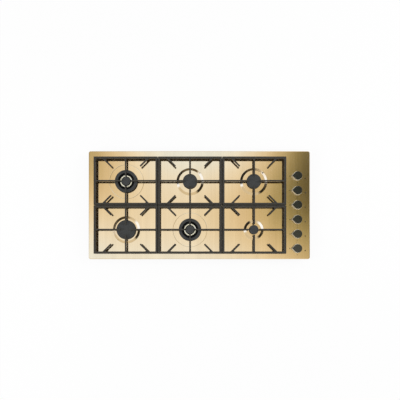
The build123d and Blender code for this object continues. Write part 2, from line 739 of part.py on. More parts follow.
def make_pipes():
    pipes, nuts = [], []
    for index, name in enumerate(TAP_BURNERS):
        plan = pipe_route(index)
        pipes.append(swept_tube([(x, y, PIPE_Z) for x, y in plan], PIPE_BEND, PIPE_RADIUS, PIPE_BORE))
        nuts.append(nut_along(*plan[0], PIPE_Z, 180))
        nuts.append(nut_along(*plan[-1], PIPE_Z, BURNERS[name][3]))
    return pipes, nuts


def make_manifold():
    """Square gas rail beside the taps, closed at the front, on two feet."""
    length = MANIFOLD_BACK - MANIFOLD_FRONT
    middle = (MANIFOLD_BACK + MANIFOLD_FRONT) / 2
    half = MANIFOLD_SIZE / 2
    half_bore = half - MANIFOLD_WALL
    rail = slab(MANIFOLD_SIZE, length, MANIFOLD_Z - half, MANIFOLD_Z + half, MANIFOLD_X, middle)
    rail -= slab(2 * half_bore, length, MANIFOLD_Z - half_bore, MANIFOLD_Z + half_bore,
                 MANIFOLD_X, middle + MANIFOLD_WALL)
    for y in tap_ys():
        rail -= level_rod(PORT_RADIUS, MANIFOLD_X - half - OVERCUT, MANIFOLD_X, y, MANIFOLD_Z)
    for y in MANIFOLD_FEET:
        rail += slab(MANIFOLD_SIZE, FOOT_SHEET, TRAY_SHEET, MANIFOLD_Z - half, MANIFOLD_X, y)
        rail += slab(MANIFOLD_SIZE, FOOT_LENGTH, TRAY_SHEET, TRAY_SHEET + FOOT_HEIGHT, MANIFOLD_X, y)
    return one(rail)


def make_tap_body(y):
    """Valve body: barrel with a bore for the plug, an arm to the rail and an outlet to the pipe."""
    arm_end = MANIFOLD_X - MANIFOLD_SIZE / 2 - TAP_X
    body = rod(TAP_RADIUS, TAP_FOOT, TAP_TOP)
    body += slab(arm_end, MANIFOLD_SIZE, MANIFOLD_Z - MANIFOLD_SIZE / 2, TAP_TOP, arm_end / 2, 0)
    body += level_rod(OUTLET_RADIUS, -TAP_RADIUS - OUTLET_REACH, BRANCH_ROOT - TAP_RADIUS, 0, PIPE_Z)
    body += level_rod(MAGNET_RADIUS, -TAP_RADIUS - MAGNET_REACH, BRANCH_ROOT - TAP_RADIUS, 0, MAGNET_Z)
    body -= rod(TAP_BORE, TAP_FLOOR, TAP_TOP + OVERCUT)
    body -= rod(PIPE_BORE, PIPE_Z, TAP_FLOOR + OVERCUT)
    body -= level_rod(PIPE_BORE, -TAP_RADIUS - OUTLET_REACH - OVERCUT, 0, 0, PIPE_Z)
    body -= level_rod(PORT_RADIUS, TAP_BORE - OVERCUT, arm_end + OVERCUT, 0, MANIFOLD_Z)
    return one(Pos(TAP_X, y, 0) * body)


def make_tap_bonnet(y):
    """Cover that keeps the plug in its bore and guides the stem."""
    bonnet = rod(TAP_RADIUS, TAP_TOP, TAP_TOP + BONNET_FLANGE) + rod(BONNET_RADIUS, TAP_TOP, BONNET_TOP)
    hole = rod(STEM_RADIUS + PLUG_CLEARANCE, TAP_TOP - OVERCUT, BONNET_TOP + OVERCUT)
    return one(Pos(TAP_X, y, 0) * (bonnet - hole))


def make_tap_plug(y):
    """The tap's turning plug, with a keyed socket for the stem and a gas port."""
    socket_foot = STEM_FOOT - PUSH_TRAVEL - SOCKET_SPARE
    plug = rod(TAP_BORE - PLUG_CLEARANCE, TAP_FLOOR, PLUG_TOP)
    plug -= keyed(STEM_RADIUS + PLUG_CLEARANCE, socket_foot, PLUG_TOP + OVERCUT, STEM_FLAT)
    plug -= level_rod(PLUG_PORT, 0, TAP_BORE, 0, PLUG_PORT_Z)
    return one(Pos(TAP_X, y, 0) * plug)


def make_tap_stem(y):
    """Stem with a flat at each end: one slides in the plug, the other carries the knob."""
    stem = keyed(STEM_RADIUS, STEM_FOOT, STEM_KEY_TOP, STEM_FLAT + PLUG_CLEARANCE)
    stem += rod(STEM_RADIUS, STEM_KEY_TOP, STEM_SHOULDER)
    stem += keyed(STEM_PIN, STEM_SHOULDER, STEM_TOP, STEM_FLAT)
    return one(Pos(TAP_X, y, 0) * stem)


def knob_outline(shrink):
    """Teardrop: the hull of a large circle and the small circle of the beak, which points left."""
    beak_radius = max(KNOB_BEAK_RADIUS - shrink, KNOB_BEAK_LEAST)
    round_edges = Circle(KNOB_RADIUS - shrink).edges()
    beak_edges = (Pos(KNOB_BEAK_RADIUS - KNOB_BEAK, 0) * Circle(beak_radius)).edges()
    return make_face(make_hull([*round_edges, *beak_edges]))


def make_knob(y):
    """Hollow knob with a drafted wall and a hub that fits the stem's flat."""
    roof = KNOB_TOP - KNOB_ROOF
    knob = Pos(0, 0, KNOB_FOOT) * extrude(knob_outline(0), KNOB_TOP - KNOB_FOOT, taper=KNOB_DRAFT)
    knob = chamfer(knob.faces().sort_by(Axis.Z)[-1].edges(), KNOB_EDGE)
    knob -= Pos(0, 0, KNOB_FOOT) * extrude(knob_outline(KNOB_WALL), roof - KNOB_FOOT)
    knob += rod(KNOB_HUB, STEM_SHOULDER, roof)
    knob -= keyed(STEM_PIN + KNOB_FIT, STEM_SHOULDER - OVERCUT, STEM_TOP + SOCKET_SPARE,
                  STEM_FLAT - KNOB_FIT)
    return one(Pos(TAP_X, y, 0) * knob)


def make_inlet():
    """Elbow at the back end of the rail, with a threaded spigot pointing down into the recess."""
    neck_foot = INLET_FOOT + INLET_LENGTH
    elbow = slab(ELBOW_WIDTH, ELBOW_DEPTH, ELBOW_FOOT, MANIFOLD_Z + MANIFOLD_SIZE / 2,
                 MANIFOLD_X, INLET_Y)
    elbow += rod(ELBOW_NECK, neck_foot, ELBOW_FOOT, MANIFOLD_X, INLET_Y)
    elbow += rod(INLET_RADIUS, INLET_FOOT, neck_foot, MANIFOLD_X, INLET_Y)
    elbow -= rod(INLET_BORE, INLET_FOOT - OVERCUT, MANIFOLD_Z, MANIFOLD_X, INLET_Y)
    passage = Pos(MANIFOLD_X, MANIFOLD_BACK - OVERCUT, MANIFOLD_Z) * Rot(-90, 0, 0)
    elbow -= passage * extrude(Circle(ELBOW_PASSAGE), INLET_Y - MANIFOLD_BACK + OVERCUT)
    return one(elbow)


# ---------------------------------------------------------------- electrics
def make_spark_plugs():
    """Ceramic bodies with a thin electrode that ends beside the flame ports."""
    plugs = []
    for name in BURNERS:
        place = probe_place(name, SPARK_ANGLES)
        ceramic = rod(SPARK_RADIUS, SPARK_FOOT, SPARK_TOP, *place)
        plugs.append(one(ceramic + rod(ELECTRODE_RADIUS, SPARK_TOP, ELECTRODE_TOP, *place)))
    return plugs


def make_sensors():
    """Flame sensors: thin steel probes with a thicker sleeve below."""
    sensors = []
    for name in BURNERS:
        place = probe_place(name, SENSOR_ANGLES)
        sleeve = rod(SLEEVE_RADIUS, SENSOR_FOOT, SLEEVE_TOP, *place)
        sensors.append(one(sleeve + rod(SENSOR_RADIUS, SLEEVE_TOP, SENSOR_TOP, *place)))
    return sensors


def make_module():
    """Spark generator box with an upright terminal for each lead."""
    box = slab(MODULE_WIDTH, MODULE_DEPTH, TRAY_SHEET, MODULE_TOP, MODULE_X, MODULE_Y)
    box = fillet(box.edges().filter_by(Axis.Z), MODULE_CORNER)
    for index in range(len(BURNERS)):
        box += rod(TERMINAL_RADIUS, MODULE_TOP, TERMINAL_TOP, *terminal_place(index))
    return one(box)


def make_spark_leads():
    """Leads from the spark plugs along the middle of the casing, then back to the module."""
    leads = []
    for index, name in enumerate(SPARK_ORDER):
        x, y = probe_place(name, SPARK_ANGLES)
        line_y = SPARK_LINE_Y + SPARK_LINE_PITCH * index
        end_x, end_y = terminal_place(index)
        points = [
            (x, y, SPARK_FOOT), (x, y, SPARK_RUN_Z), (x, line_y, SPARK_RUN_Z), (x, line_y, SPARK_LINE_Z),
            (end_x, line_y, SPARK_LINE_Z), (end_x, end_y, SPARK_LINE_Z + SPARK_RISE),
            (end_x, end_y, TERMINAL_TOP),
        ]
        leads.append(swept_tube(points, LEAD_BEND, SPARK_LEAD_RADIUS))
    return leads


def make_sensor_leads():
    """Leads from the flame sensors to the magnet unit on each tap."""
    leads = []
    for index, name in enumerate(TAP_BURNERS):
        x, y = probe_place(name, SENSOR_ANGLES)
        line_y = SENSOR_LINE_Y + SENSOR_LINE_PITCH * index
        turn_x = SENSOR_TURN_XS[index]
        tap_y = tap_ys()[index]
        points = [
            (x, y, SENSOR_FOOT), (x, y, SENSOR_RUN_Z), (x, line_y, SENSOR_RUN_Z),
            (x, line_y, SENSOR_LINE_Z), (turn_x, line_y, SENSOR_LINE_Z), (turn_x, tap_y, MAGNET_Z),
            (TAP_X - TAP_RADIUS - MAGNET_REACH, tap_y, MAGNET_Z),
        ]
        leads.append(swept_tube(points, LEAD_BEND, SENSOR_LEAD_RADIUS))
    return leads


def make_gland():
    """Cable gland in the side of the recess: no cord is shown, so its hole is empty."""
    face = Pos(RECESS_X, GLAND_Y, GLAND_Z) * Rot(0, 90, 0)
    gland = face * rod(GLAND_RADIUS, -GLAND_INSIDE, 0)
    gland += face * rod(LOCKNUT_RADIUS, -TRAY_SHEET - LOCKNUT_HEIGHT, -TRAY_SHEET)
    gland += face * hexagon_nut(GLAND_NUT_SIZE, GLAND_BORE, 0, GLAND_NUT_LENGTH)
    gland += face * rod(GLAND_DOME_RADIUS, GLAND_NUT_LENGTH, GLAND_LENGTH)
    return one(gland - face * rod(GLAND_BORE, -GLAND_INSIDE - OVERCUT, GLAND_LENGTH + OVERCUT))


# ---------------------------------------------------------------- grates
def bar_profile(top, foot, height):
    """Section of a cast bar: wider at the foot, with rounded upper edges, hung from its top."""
    half_top, half_foot = top / 2, foot / 2
    flat = half_top - CAST_ROUND
    middle = CAST_ROUND * QUARTER_ARC
    return make_face(Wire([
        Line((-half_foot, -height), (half_foot, -height)),
        Line((half_foot, -height), (half_top, -CAST_ROUND)),
        ThreePointArc((half_top, -CAST_ROUND), (half_top - middle, -middle), (flat, 0)),
        Line((flat, 0), (-flat, 0)),
        ThreePointArc((-flat, 0), (middle - half_top, -middle), (-half_top, -CAST_ROUND)),
        Line((-half_top, -CAST_ROUND), (-half_foot, -height)),
    ]))


def cast_bar(start, end, level, top, foot, height):
    """A straight cast bar between two plan points, with its upper face at a level."""
    a, b = Vector(*start, 0), Vector(*end, 0)
    along = (b - a).normalized()
    across = Vector(0, 0, 1).cross(along)
    plane = Plane(origin=(a.X, a.Y, level), x_dir=across, z_dir=along)
    return extrude(plane * bar_profile(top, foot, height), (b - a).length)


def frame_bar(start, end):
    return cast_bar(start, end, FRAME_TOP, BAR_TOP, BAR_FOOT, BAR_HEIGHT)


def finger(start, end):
    return cast_bar(start, end, GRATE_TOP, FINGER_TOP, FINGER_FOOT, FINGER_HEIGHT)


def grate_block(inset):
    """Everything inside the grate's outline, moved in by an inset."""
    outline = RectangleRounded(GRATE_WIDTH - 2 * inset, GRATE_DEPTH - 2 * inset, GRATE_CORNER - inset)
    return extrude(outline, GRATE_TOP + OVERCUT)


def grate_leg(x, y):
    """A leg that tapers from the frame down to a small pad on the plate."""
    shaft = loft([
        Pos(x, y, FRAME_TOP - BAR_HEIGHT) * Rectangle(LEG_SIZE, LEG_SIZE),
        Pos(x, y, PLATE_TOP + PAD_HEIGHT) * Rectangle(LEG_FOOT, LEG_FOOT),
    ])
    return shaft + slab(LEG_FOOT, LEG_FOOT, PLATE_TOP, PLATE_TOP + PAD_HEIGHT, x, y)


def make_grate():
    """One grate about its own middle: a frame on four legs, with four straight and four diagonal
    fingers that run over the frame and stand a little above it."""
    half_x, half_y = GRATE_WIDTH / 2, GRATE_DEPTH / 2
    line_x, line_y = half_x - BAR_FOOT / 2, half_y - BAR_FOOT / 2
    leg_inset = LEG_SIZE / 2 + LEG_INSET
    beyond = half_y + FINGER_FOOT
    within = grate_block(FINGER_END_INSET)
    grate = frame_bar((-half_x, line_y), (half_x, line_y))
    grate += frame_bar((-half_x, -line_y), (half_x, -line_y))
    grate += frame_bar((line_x, -half_y), (line_x, half_y))
    grate += frame_bar((-line_x, -half_y), (-line_x, half_y))
    for sx in (-1, 1):
        grate += finger((sx * half_x, 0), (sx * FINGER_REACH, 0)) & within
        grate += finger((0, sx * half_y), (0, sx * FINGER_REACH)) & within
        for sy in (-1, 1):
            start = (sx * beyond, sy * beyond)
            end = (sx * DIAGONAL_START, sy * DIAGONAL_START)
            grate += finger(start, end) & within
            grate += grate_leg(sx * (half_x - leg_inset), sy * (half_y - leg_inset))
    return one(grate & grate_block(0))


def make_grates():
    grate = make_grate()
    return {f"grate_{name}": Pos(x, y, 0) * grate for name, (_, x, y, _) in BURNERS.items()}


# ---------------------------------------------------------------- everything
def main():
    save("top_plate", make_top_plate())
    save("worktop_seal", make_seal())
    save("bottom_tray", make_tray())
    save("fixing_nuts", make_fixing_nuts())
    clamps, screws = make_clamps()
    save("mounting_clamps", clamps)
    save("clamp_screws", screws)

    for kind in CAP_RADIUS:
        save(f"{kind}_burner_body", make_burner_bodies(kind))
        save(f"{kind}_spreader", make_spreaders(kind))
    save("wok_inner_crown", make_inner_crowns())
    save("gas_injectors", make_injectors())
    for name, cap in make_caps().items():
        save(name, cap)

    pipes, nuts = make_pipes()
    save("feed_pipes", pipes)
    save("pipe_nuts", nuts)
    save("gas_manifold", make_manifold())
    save("gas_inlet_elbow", make_inlet())
    save("tap_bodies", [make_tap_body(y) for y in tap_ys()])
    save("tap_bonnets", [make_tap_bonnet(y) for y in tap_ys()])
    for number, y in enumerate(tap_ys(), start=1):
        save(f"tap_plug_{number}", make_tap_plug(y))
        save(f"tap_stem_{number}", make_tap_stem(y))
        save(f"knob_{number}", make_knob(y))

    save("spark_plugs", make_spark_plugs())
    save("flame_sensors", make_sensors())
    save("ignition_module", make_module())
    save("ignition_leads", make_spark_leads())
    save("sensor_leads", make_sensor_leads())
    save("cable_gland", make_gland())
    for name, grate in make_grates().items():
        save(name, grate)


main()
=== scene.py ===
"""A built-in gas cooktop with six burners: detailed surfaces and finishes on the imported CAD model.

The frame is the model's own: +X to the right, +Y to the back, +Z up. Shapes and the sizes of
patterns are worked out in millimetres, and become metres as they enter a mesh or a node.
"""

import json
from functools import cache
from math import acos, atan2, degrees, pi, radians, sqrt, tan

import bmesh
import bpy
import numpy as np
from bpy.props import FloatProperty, FloatVectorProperty, IntProperty, PointerProperty
from bpy.types import Operator, Panel, PropertyGroup
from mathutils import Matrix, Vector
from mathutils.geometry import delaunay_2d_cdt


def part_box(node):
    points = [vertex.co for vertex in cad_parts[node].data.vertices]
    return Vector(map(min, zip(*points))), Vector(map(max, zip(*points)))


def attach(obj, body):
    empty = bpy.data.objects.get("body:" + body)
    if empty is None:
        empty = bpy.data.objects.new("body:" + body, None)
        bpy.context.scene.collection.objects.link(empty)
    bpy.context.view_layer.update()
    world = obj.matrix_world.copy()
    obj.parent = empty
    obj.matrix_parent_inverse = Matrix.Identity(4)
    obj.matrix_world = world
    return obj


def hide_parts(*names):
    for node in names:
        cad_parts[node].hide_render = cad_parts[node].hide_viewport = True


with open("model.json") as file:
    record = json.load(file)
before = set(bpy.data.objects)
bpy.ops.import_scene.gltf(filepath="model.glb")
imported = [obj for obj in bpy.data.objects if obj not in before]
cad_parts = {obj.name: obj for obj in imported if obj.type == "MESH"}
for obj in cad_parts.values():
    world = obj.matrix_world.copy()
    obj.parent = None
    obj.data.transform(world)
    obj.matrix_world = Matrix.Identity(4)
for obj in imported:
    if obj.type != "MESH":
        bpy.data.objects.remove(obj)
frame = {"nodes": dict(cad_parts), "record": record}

bl_info = {
    "name": "Gas cooktop",
    "version": (1, 0, 0),
    "blender": (4, 5, 0),
    "location": "3D View > Sidebar > Cooktop",
    "description": "Detailed surfaces and finishes for a built-in gas cooktop with six burners",
    "category": "Add Mesh",
}

MM = 0.001


def box(node):
    """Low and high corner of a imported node."""
    return [np.array(corner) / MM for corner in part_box(node)]


GRATE_LOW, GRATE_HIGH = box("grate_back_left")
GRATE_HALF = (GRATE_HIGH - GRATE_LOW)[:2] / 2
DECK, GRATE_TOP = GRATE_LOW[2], GRATE_HIGH[2]
FRAME_TOP = GRATE_TOP - 1.2
NECK_TOP = DECK + 5
SHEET = 1.2
STUD_PITCH = 0.7
CAP_HEIGHT = 4.6
# Inner and outer radius of the collar pressed round each burner, or none round a dual-crown one
WIDE, NARROW = (54.5, 66.5), (36, 48.5)
COLLARS = {
    "back_left": None, "back_middle": WIDE, "back_right": WIDE,
    "front_left": WIDE, "front_middle": None, "front_right": NARROW,
}
COLLAR_RISE, COLLAR_FILLET = 4, 1.0
# The thin ring pressed round a dual-crown burner, and the width of the painted shade along it
RING_RADIUS, RING_HALF, RING_SHADE_WIDTH = 83, 1.1, 0.7


class Burner:
    """Where one burner is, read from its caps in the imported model."""

    def __init__(self, name, collar):
        self.name, self.collar, self.dual = name, collar, collar is None
        self.caps = ["outer_cap_" + name, "inner_cap_" + name] if self.dual else ["cap_" + name]
        low, high = box(self.caps[0])
        self.place, self.radius = (low[:2] + high[:2]) / 2, (high[0] - low[0]) / 2

    def at(self, distance, angle):
        """The plan point at a distance and an angle in degrees from the middle."""
        return self.place + distance * directions(radians(angle))


BURNERS = [Burner(*item) for item in COLLARS.items()]
# Plan point of each knob's axis
KNOBS = [sum(box(f"tap_stem_{number}"))[:2] / 2 for number in range(1, 7)]


# ---- what a user may change
def length(name, description, default, least, most):
    """A length, with its values in millimetres here and in metres in the panel."""
    return FloatProperty(name=name, description=description, default=default * MM,
                         min=least * MM, max=most * MM, unit="LENGTH")


def tint(name, description, default):
    """A colour."""
    return FloatVectorProperty(name=name, description=description, default=default,
                               size=3, min=0, max=1, subtype="COLOR")


class CooktopSizes(PropertyGroup):
    rim_roll: length("Rim roll", "Radius of the plate's rolled edge", 2.2, 0.5, 2.4)
    collar_height: length(
        "Collar height", "How far a pressed collar stands above the plate", COLLAR_RISE, 1, 4)
    ring_depth: length(
        "Ring depth", "Depth of the ring pressed round a dual-crown burner", 0.12, 0.05, 0.8)
    cast_round: length(
        "Cast rounding", "Radius along the upper edges of the grates", 1.1, 0.3, 1.1)
    flutes: IntProperty(
        name="Flutes", description="Grooves round a knob's skirt", default=24, min=8, max=60)
    flute_depth: length("Flute depth", "Depth of a knob's grooves", 0.6, 0.1, 1)
    crown_ports: IntProperty(
        name="Inner ports", description="Flame ports of an inner crown", default=20, min=8, max=40)


class CooktopColours(PropertyGroup):
    gold: tint(
        "Gold-toned steel", "Colour that the brushed plate reflects", (0.78, 0.58, 0.33))
    enamel: tint("Cap enamel", "Black enamel of the burner caps", (0.045, 0.045, 0.042))
    iron: tint("Cast iron", "Enamelled cast iron of the grates", (0.041, 0.036, 0.027))
    crown: tint("Inner crown", "Pale satin metal of the inner crowns", (0.93, 0.86, 0.64))
    knob: tint("Knob face", "Satin black face of the knobs", (0.007, 0.009, 0.009))
    # the skirt's pale cream is a painted highlight: it stands for the bright reflection on the
    # skirt's metal
    skirt: tint("Knob skirt", "Pale satin metal of the knobs' skirts", (0.98, 0.92, 0.76))


# ---- shapes from arrays
def directions(turn):
    """The unit directions (cos a, sin a) at angles in radians."""
    return np.stack([np.cos(turn), np.sin(turn)], -1)


def full_turn(steps):
    """Angles in radians, evenly round a circle."""
    return 2 * pi * np.arange(steps) / steps


def bend(centre, radius, start, end, steps=6):
    """Part of a circle in a profile: (across, up) points between two angles in degrees."""
    return centre + radius * directions(np.radians(np.linspace(start, end, steps)))


def joined(*parts):
    """Points and runs of points put end to end as one profile."""
    return np.concatenate([np.reshape(part, (-1, 2)) for part in parts])


def eased(t):
    """0 before 0, 1 after 1, and 3t^2 - 2t^3 between them."""
    t = np.clip(t, 0, 1)
    return t * t * (3 - 2 * t)


def raised(plan, heights):
    """Plan points with their heights as a third coordinate."""
    return np.concatenate([plan, np.broadcast_to(heights, plan.shape[:-1])[..., None]], -1)


def turned(profile, place, steps):
    """A profile of (radius, height) turned about an upright line: each point becomes a circle."""
    return raised(place + profile[:, None, :1] * directions(full_turn(steps)), profile[:, 1:])


def rounded_outline(corners, radii, steps=6):
    """A closed outline with an arc at each corner, tangent to its two sides, and the directions
    square to it. The arc's centre lies along the corner's bisector, at r / sin(half angle)."""
    radii = np.broadcast_to(radii, len(corners))[:, None]
    ahead = np.roll(corners, -1, 0) - corners
    ahead /= np.linalg.norm(ahead, axis=1)[:, None]
    behind = np.roll(ahead, 1, 0)
    side_in, side_out = behind[:, ::-1] * (1, -1), ahead[:, ::-1] * (1, -1)
    cross = behind[:, 0] * ahead[:, 1] - behind[:, 1] * ahead[:, 0]
    along = (behind * ahead).sum(1)
    bulge = np.sign(cross)[:, None]
    centres = corners - bulge * radii * (side_in + side_out) / (1 + along)[:, None]
    first = np.arctan2(side_in[:, 1], side_in[:, 0])
    turn = first[:, None] + np.arctan2(cross, along)[:, None] * np.linspace(0, 1, steps)
    square = directions(turn)
    points = centres[:, None] + (bulge * radii)[:, None] * square
    return points.reshape(-1, 2), square.reshape(-1, 2)


def spaced(points, square, gap):
    """More points along an outline's long runs, evenly between the ones that are there."""
    runs = np.roll(points, -1, 0) - points
    counts = np.maximum(1, np.ceil(np.linalg.norm(runs, axis=1) / gap)).astype(int)
    which = np.repeat(np.arange(len(points)), counts)
    step = np.arange(len(which)) - np.repeat(np.cumsum(counts) - counts, counts)
    share = (step / counts[which])[:, None]
    normals = square[which] + (np.roll(square, -1, 0) - square)[which] * share
    return points[which] + runs[which] * share, normals / np.linalg.norm(normals, axis=1)[:, None]


def carried(points, square, profile, heights=None):
    """A profile carried along an outline: row j is the outline moved outwards by the profile's
    j-th offset, at its j-th height. Offsets and heights may also differ from point to point."""
    offsets = profile
    if heights is None:
        offsets, heights = profile[:, :1], profile[:, 1:]
    offsets = np.broadcast_to(offsets, (len(offsets), len(points)))
    return raised(points + square * offsets[..., None], heights)


def rectangle(half_x, half_y, middle=(0, 0)):
    """Corners of a rectangle, anticlockwise."""
    return middle + np.array([(-1, -1), (1, -1), (1, 1), (-1, 1)]) * (half_x, half_y)


def filled(loops):
    """Triangles across the area between closed loops, the first one outermost. A triangle stays
    if a level line from its middle crosses the loops an odd number of times."""
    points = np.concatenate(loops)
    sizes = np.array([len(loop) for loop in loops])
    starts = np.repeat(np.cumsum(sizes) - sizes, sizes)
    index = np.arange(len(points))
    after = starts + (index - starts + 1) % np.repeat(sizes, sizes)
    result = delaunay_2d_cdt([Vector(point) for point in points[:, :2] * MM],
                             np.stack([index, after], 1).tolist(), [], 0, 1e-9)
    source = np.array([group[0] for group in result[3]])
    triangles = source[np.array(result[2])]
    px, py = np.moveaxis(points[triangles][:, :, :2].mean(1), 1, 0)[..., None]
    (ax, ay), (bx, by) = points[:, :2].T, points[after, :2].T
    rise = np.where(ay == by, 1, by - ay)
    crossed = ((ay > py) != (by > py)) & (px < ax + (py - ay) * (bx - ax) / rise)
    return points, triangles[crossed.sum(1) % 2 == 1]


def shown(name, data):
    """A new object in the scene."""
    made = bpy.data.objects.new(name, data)
    bpy.context.scene.collection.objects.link(made)
    return made


class Shell:
    """Sheets of points that together close round one piece."""

    def __init__(self):
        self.points, self.faces, self.count = [], [], 0

    def add(self, points, faces):
        """Points, and faces that count from the first of them."""
        self.points.append(np.reshape(points, (-1, 3)))
        self.faces += (np.asarray(faces) + self.count).tolist()
        self.count += len(self.points[-1])
        return self

    def sheet(self, grid):
        """A grid of points whose last column meets its first: neighbours make four-sided faces."""
        rows, columns = grid.shape[:2]
        row, column = np.meshgrid(np.arange(rows - 1), np.arange(columns), indexing="ij")
        after = (column + 1) % columns
        corners = [row * columns + column, row * columns + after,
                   (row + 1) * columns + after, (row + 1) * columns + column]
        return self.add(grid, np.stack(corners, 2).reshape(-1, 4))

    def capped(self, *grids):
        """Grids as above, with the area between their first rows filled, and between their last."""
        for grid in grids:
            self.sheet(grid)
        for row in (0, -1):
            self.add(*filled([grid[row] for grid in grids]))
        return self

    def mesh(self, name, material, place=(0, 0)):
        """The sheets as one mesh in metres, moved to a plan point."""
        mesh = bpy.data.meshes.new(name)
        points = (np.concatenate(self.points) + (*place, 0)) * MM
        mesh.from_pydata(points.tolist(), [], self.faces)
        mesh.materials.append(material)
        return mesh

    def build(self, name, look, body, node, crease=35, place=(0, 0)):
        """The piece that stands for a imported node, or for some of it, in one of the looks below:
        seams joined, faces outwards, smooth except at creases of so many degrees."""
        material, slot = finishes()[look]
        mesh = self.mesh(name, material, place)
        work = bmesh.new()
        work.from_mesh(mesh)
        bmesh.ops.remove_doubles(work, verts=work.verts, dist=1e-6)
        bmesh.ops.dissolve_degenerate(work, edges=work.edges, dist=1e-7)
        bmesh.ops.recalc_face_normals(work, faces=work.faces)
        work.to_mesh(mesh)
        work.free()
        mesh.shade_smooth()
        mesh.set_sharp_from_angle(angle=radians(crease))
        piece = shown(name, mesh)
        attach(piece, body)
        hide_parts(node)


# ---- shader maths
def maths(operation, reflected=False):
    """A method of Number that adds a Math node. Reflected, the other value comes first."""
    def method(self, *others):
        values = (*others, self) if reflected else (self, *others)
        made = self.nodes.node("Math", dict(enumerate(values)), operation=operation)
        return Number(self.nodes, made.outputs[0])
    return method


class Number:
    """A number that varies over a surface. Arithmetic on it adds Math nodes."""

    __add__ = __radd__ = maths("ADD")
    __sub__, __rsub__ = maths("SUBTRACT"), maths("SUBTRACT", reflected=True)
    __mul__, __truediv__ = maths("MULTIPLY"), maths("DIVIDE")
    at_least, root, exponential = maths("MAXIMUM"), maths("SQRT"), maths("EXPONENT")
    # the angle in radians of the direction whose parts are the other number and this one
    bearing = maths("ARCTAN2")

    def __init__(self, nodes, socket):
        self.nodes, self.socket = nodes, socket

    def fading(self):
        """e to the power of minus this."""
        return (self * -1).exponential()

    def between(self, low, high):
        """0 below one value, 1 above the other, and a smooth step between them."""
        made = self.nodes.node("MapRange", {
            "Value": self, "From Min": low, "From Max": high}, interpolation_type="SMOOTHSTEP")
        return Number(self.nodes, made.outputs[0])


class Nodes:
    """The node tree of a material or of the world."""

    def __init__(self, owner):
        owner.use_nodes = True
        self.tree = owner.node_tree
        self.tree.nodes.clear()

    def node(self, kind, values=None, **settings):
        """A node of one type: its settings come first, then its sockets' values or links."""
        made = self.tree.nodes.new("ShaderNode" + kind)
        for name, value in settings.items():
            if name == "stops":
                ramp = made.color_ramp.elements
                for _ in value[len(ramp):]:
                    ramp.new(0.5)
                for element, (place, colour) in zip(ramp, value):
                    element.position, element.color = place, (*colour, 1)
            else:
                setattr(made, name, value)
        for name, value in (values or {}).items():
            self.feed(made.inputs[name], value)
        return made

    def feed(self, socket, value):
        """Give a socket a value, or a link to another socket."""
        if isinstance(value, Number):
            value = value.socket
        if isinstance(value, bpy.types.NodeSocket):
            self.tree.links.new(value, socket)
        elif socket.type == "RGBA":
            socket.default_value = (*value, 1)
        else:
            socket.default_value = value

    def ramp(self, value, stops):
        """A colour that follows a number through stops of (place, colour)."""
        return self.node("ValToRGB", {0: value}, stops=stops).outputs[0]

    def mix(self, share, first, second):
        """One colour turning into another as the share goes from 0 to 1."""
        made = self.node("Mix", {0: share, 6: first, 7: second}, data_type="RGBA")
        return made.outputs[2]

    def split(self, vector):
        """The three parts of a vector or a colour."""
        made = self.node("SeparateXYZ", {0: vector})
        return [Number(self, output) for output in made.outputs]

    def rays(self, *kinds):
        """For each kind, 1 for rays of that kind and 0 for others."""
        path = self.node("LightPath").outputs
        return [Number(self, path[f"Is {kind} Ray"]) for kind in kinds]


class Finish(Nodes):
    """One surface finish. Its patterns are fixed to the object's own coordinates."""

    def __init__(self, name):
        self.material = bpy.data.materials.new(name)
        super().__init__(self.material)
        self.place = self.node("TexCoord").outputs["Object"]
        self.surface = self.node("BsdfPrincipled")
        self.node("OutputMaterial", {"Surface": self.surface.outputs[0]})

    def grain(self, size, detail=2, roughness=0.5, stretch=(1, 1, 1)):
        """Soft noise whose spots are about the given size, stretched along each axis."""
        scale = tuple(1 / (size * MM * times) for times in stretch)
        mapped = self.node("Mapping", {"Vector": self.place, "Scale": scale})
        made = self.node("TexNoise", {
            "Vector": mapped.outputs[0], "Scale": 1, "Detail": detail, "Roughness": roughness})
        return Number(self, made.outputs[0])

    def cells(self, size, random=False):
        """Rounded cells of the given size: the distance from each cell's middle, or a number
        that is random for each cell."""
        made = self.node("TexVoronoi", {"Vector": self.place, "Scale": 1 / (size * MM)})
        if random:
            return self.split(made.outputs["Color"])[0]
        return Number(self, made.outputs["Distance"])

    def tones(self, share, colour, dark, light):
        """A colour that goes from a darker to a lighter form of itself."""
        return self.mix(share, shade(colour, dark), shade(colour, light))

    def coat(self, base, roughness, metallic=0.0, gloss=0.5):
        """Base colour, roughness, share of metal and strength of the highlights."""
        for name, value in (("Base Color", base), ("Roughness", roughness),
                            ("Metallic", metallic), ("Specular IOR Level", gloss)):
            self.feed(self.surface.inputs[name], value)

    def relief(self, height, depth):
        """A bump of the given depth where the number rises by 1."""
        made = self.node("Bump", {"Height": height, "Distance": depth * MM, "Strength": 1})
        self.feed(self.surface.inputs["Normal"], made.outputs[0])


def shade(colour, factor):
    """A colour made lighter or darker."""
    return tuple(min(1.0, channel * factor) for channel in colour)


def squared(across, along):
    """Square of the distance that two numbers make at a right angle."""
    return across * across + along * along


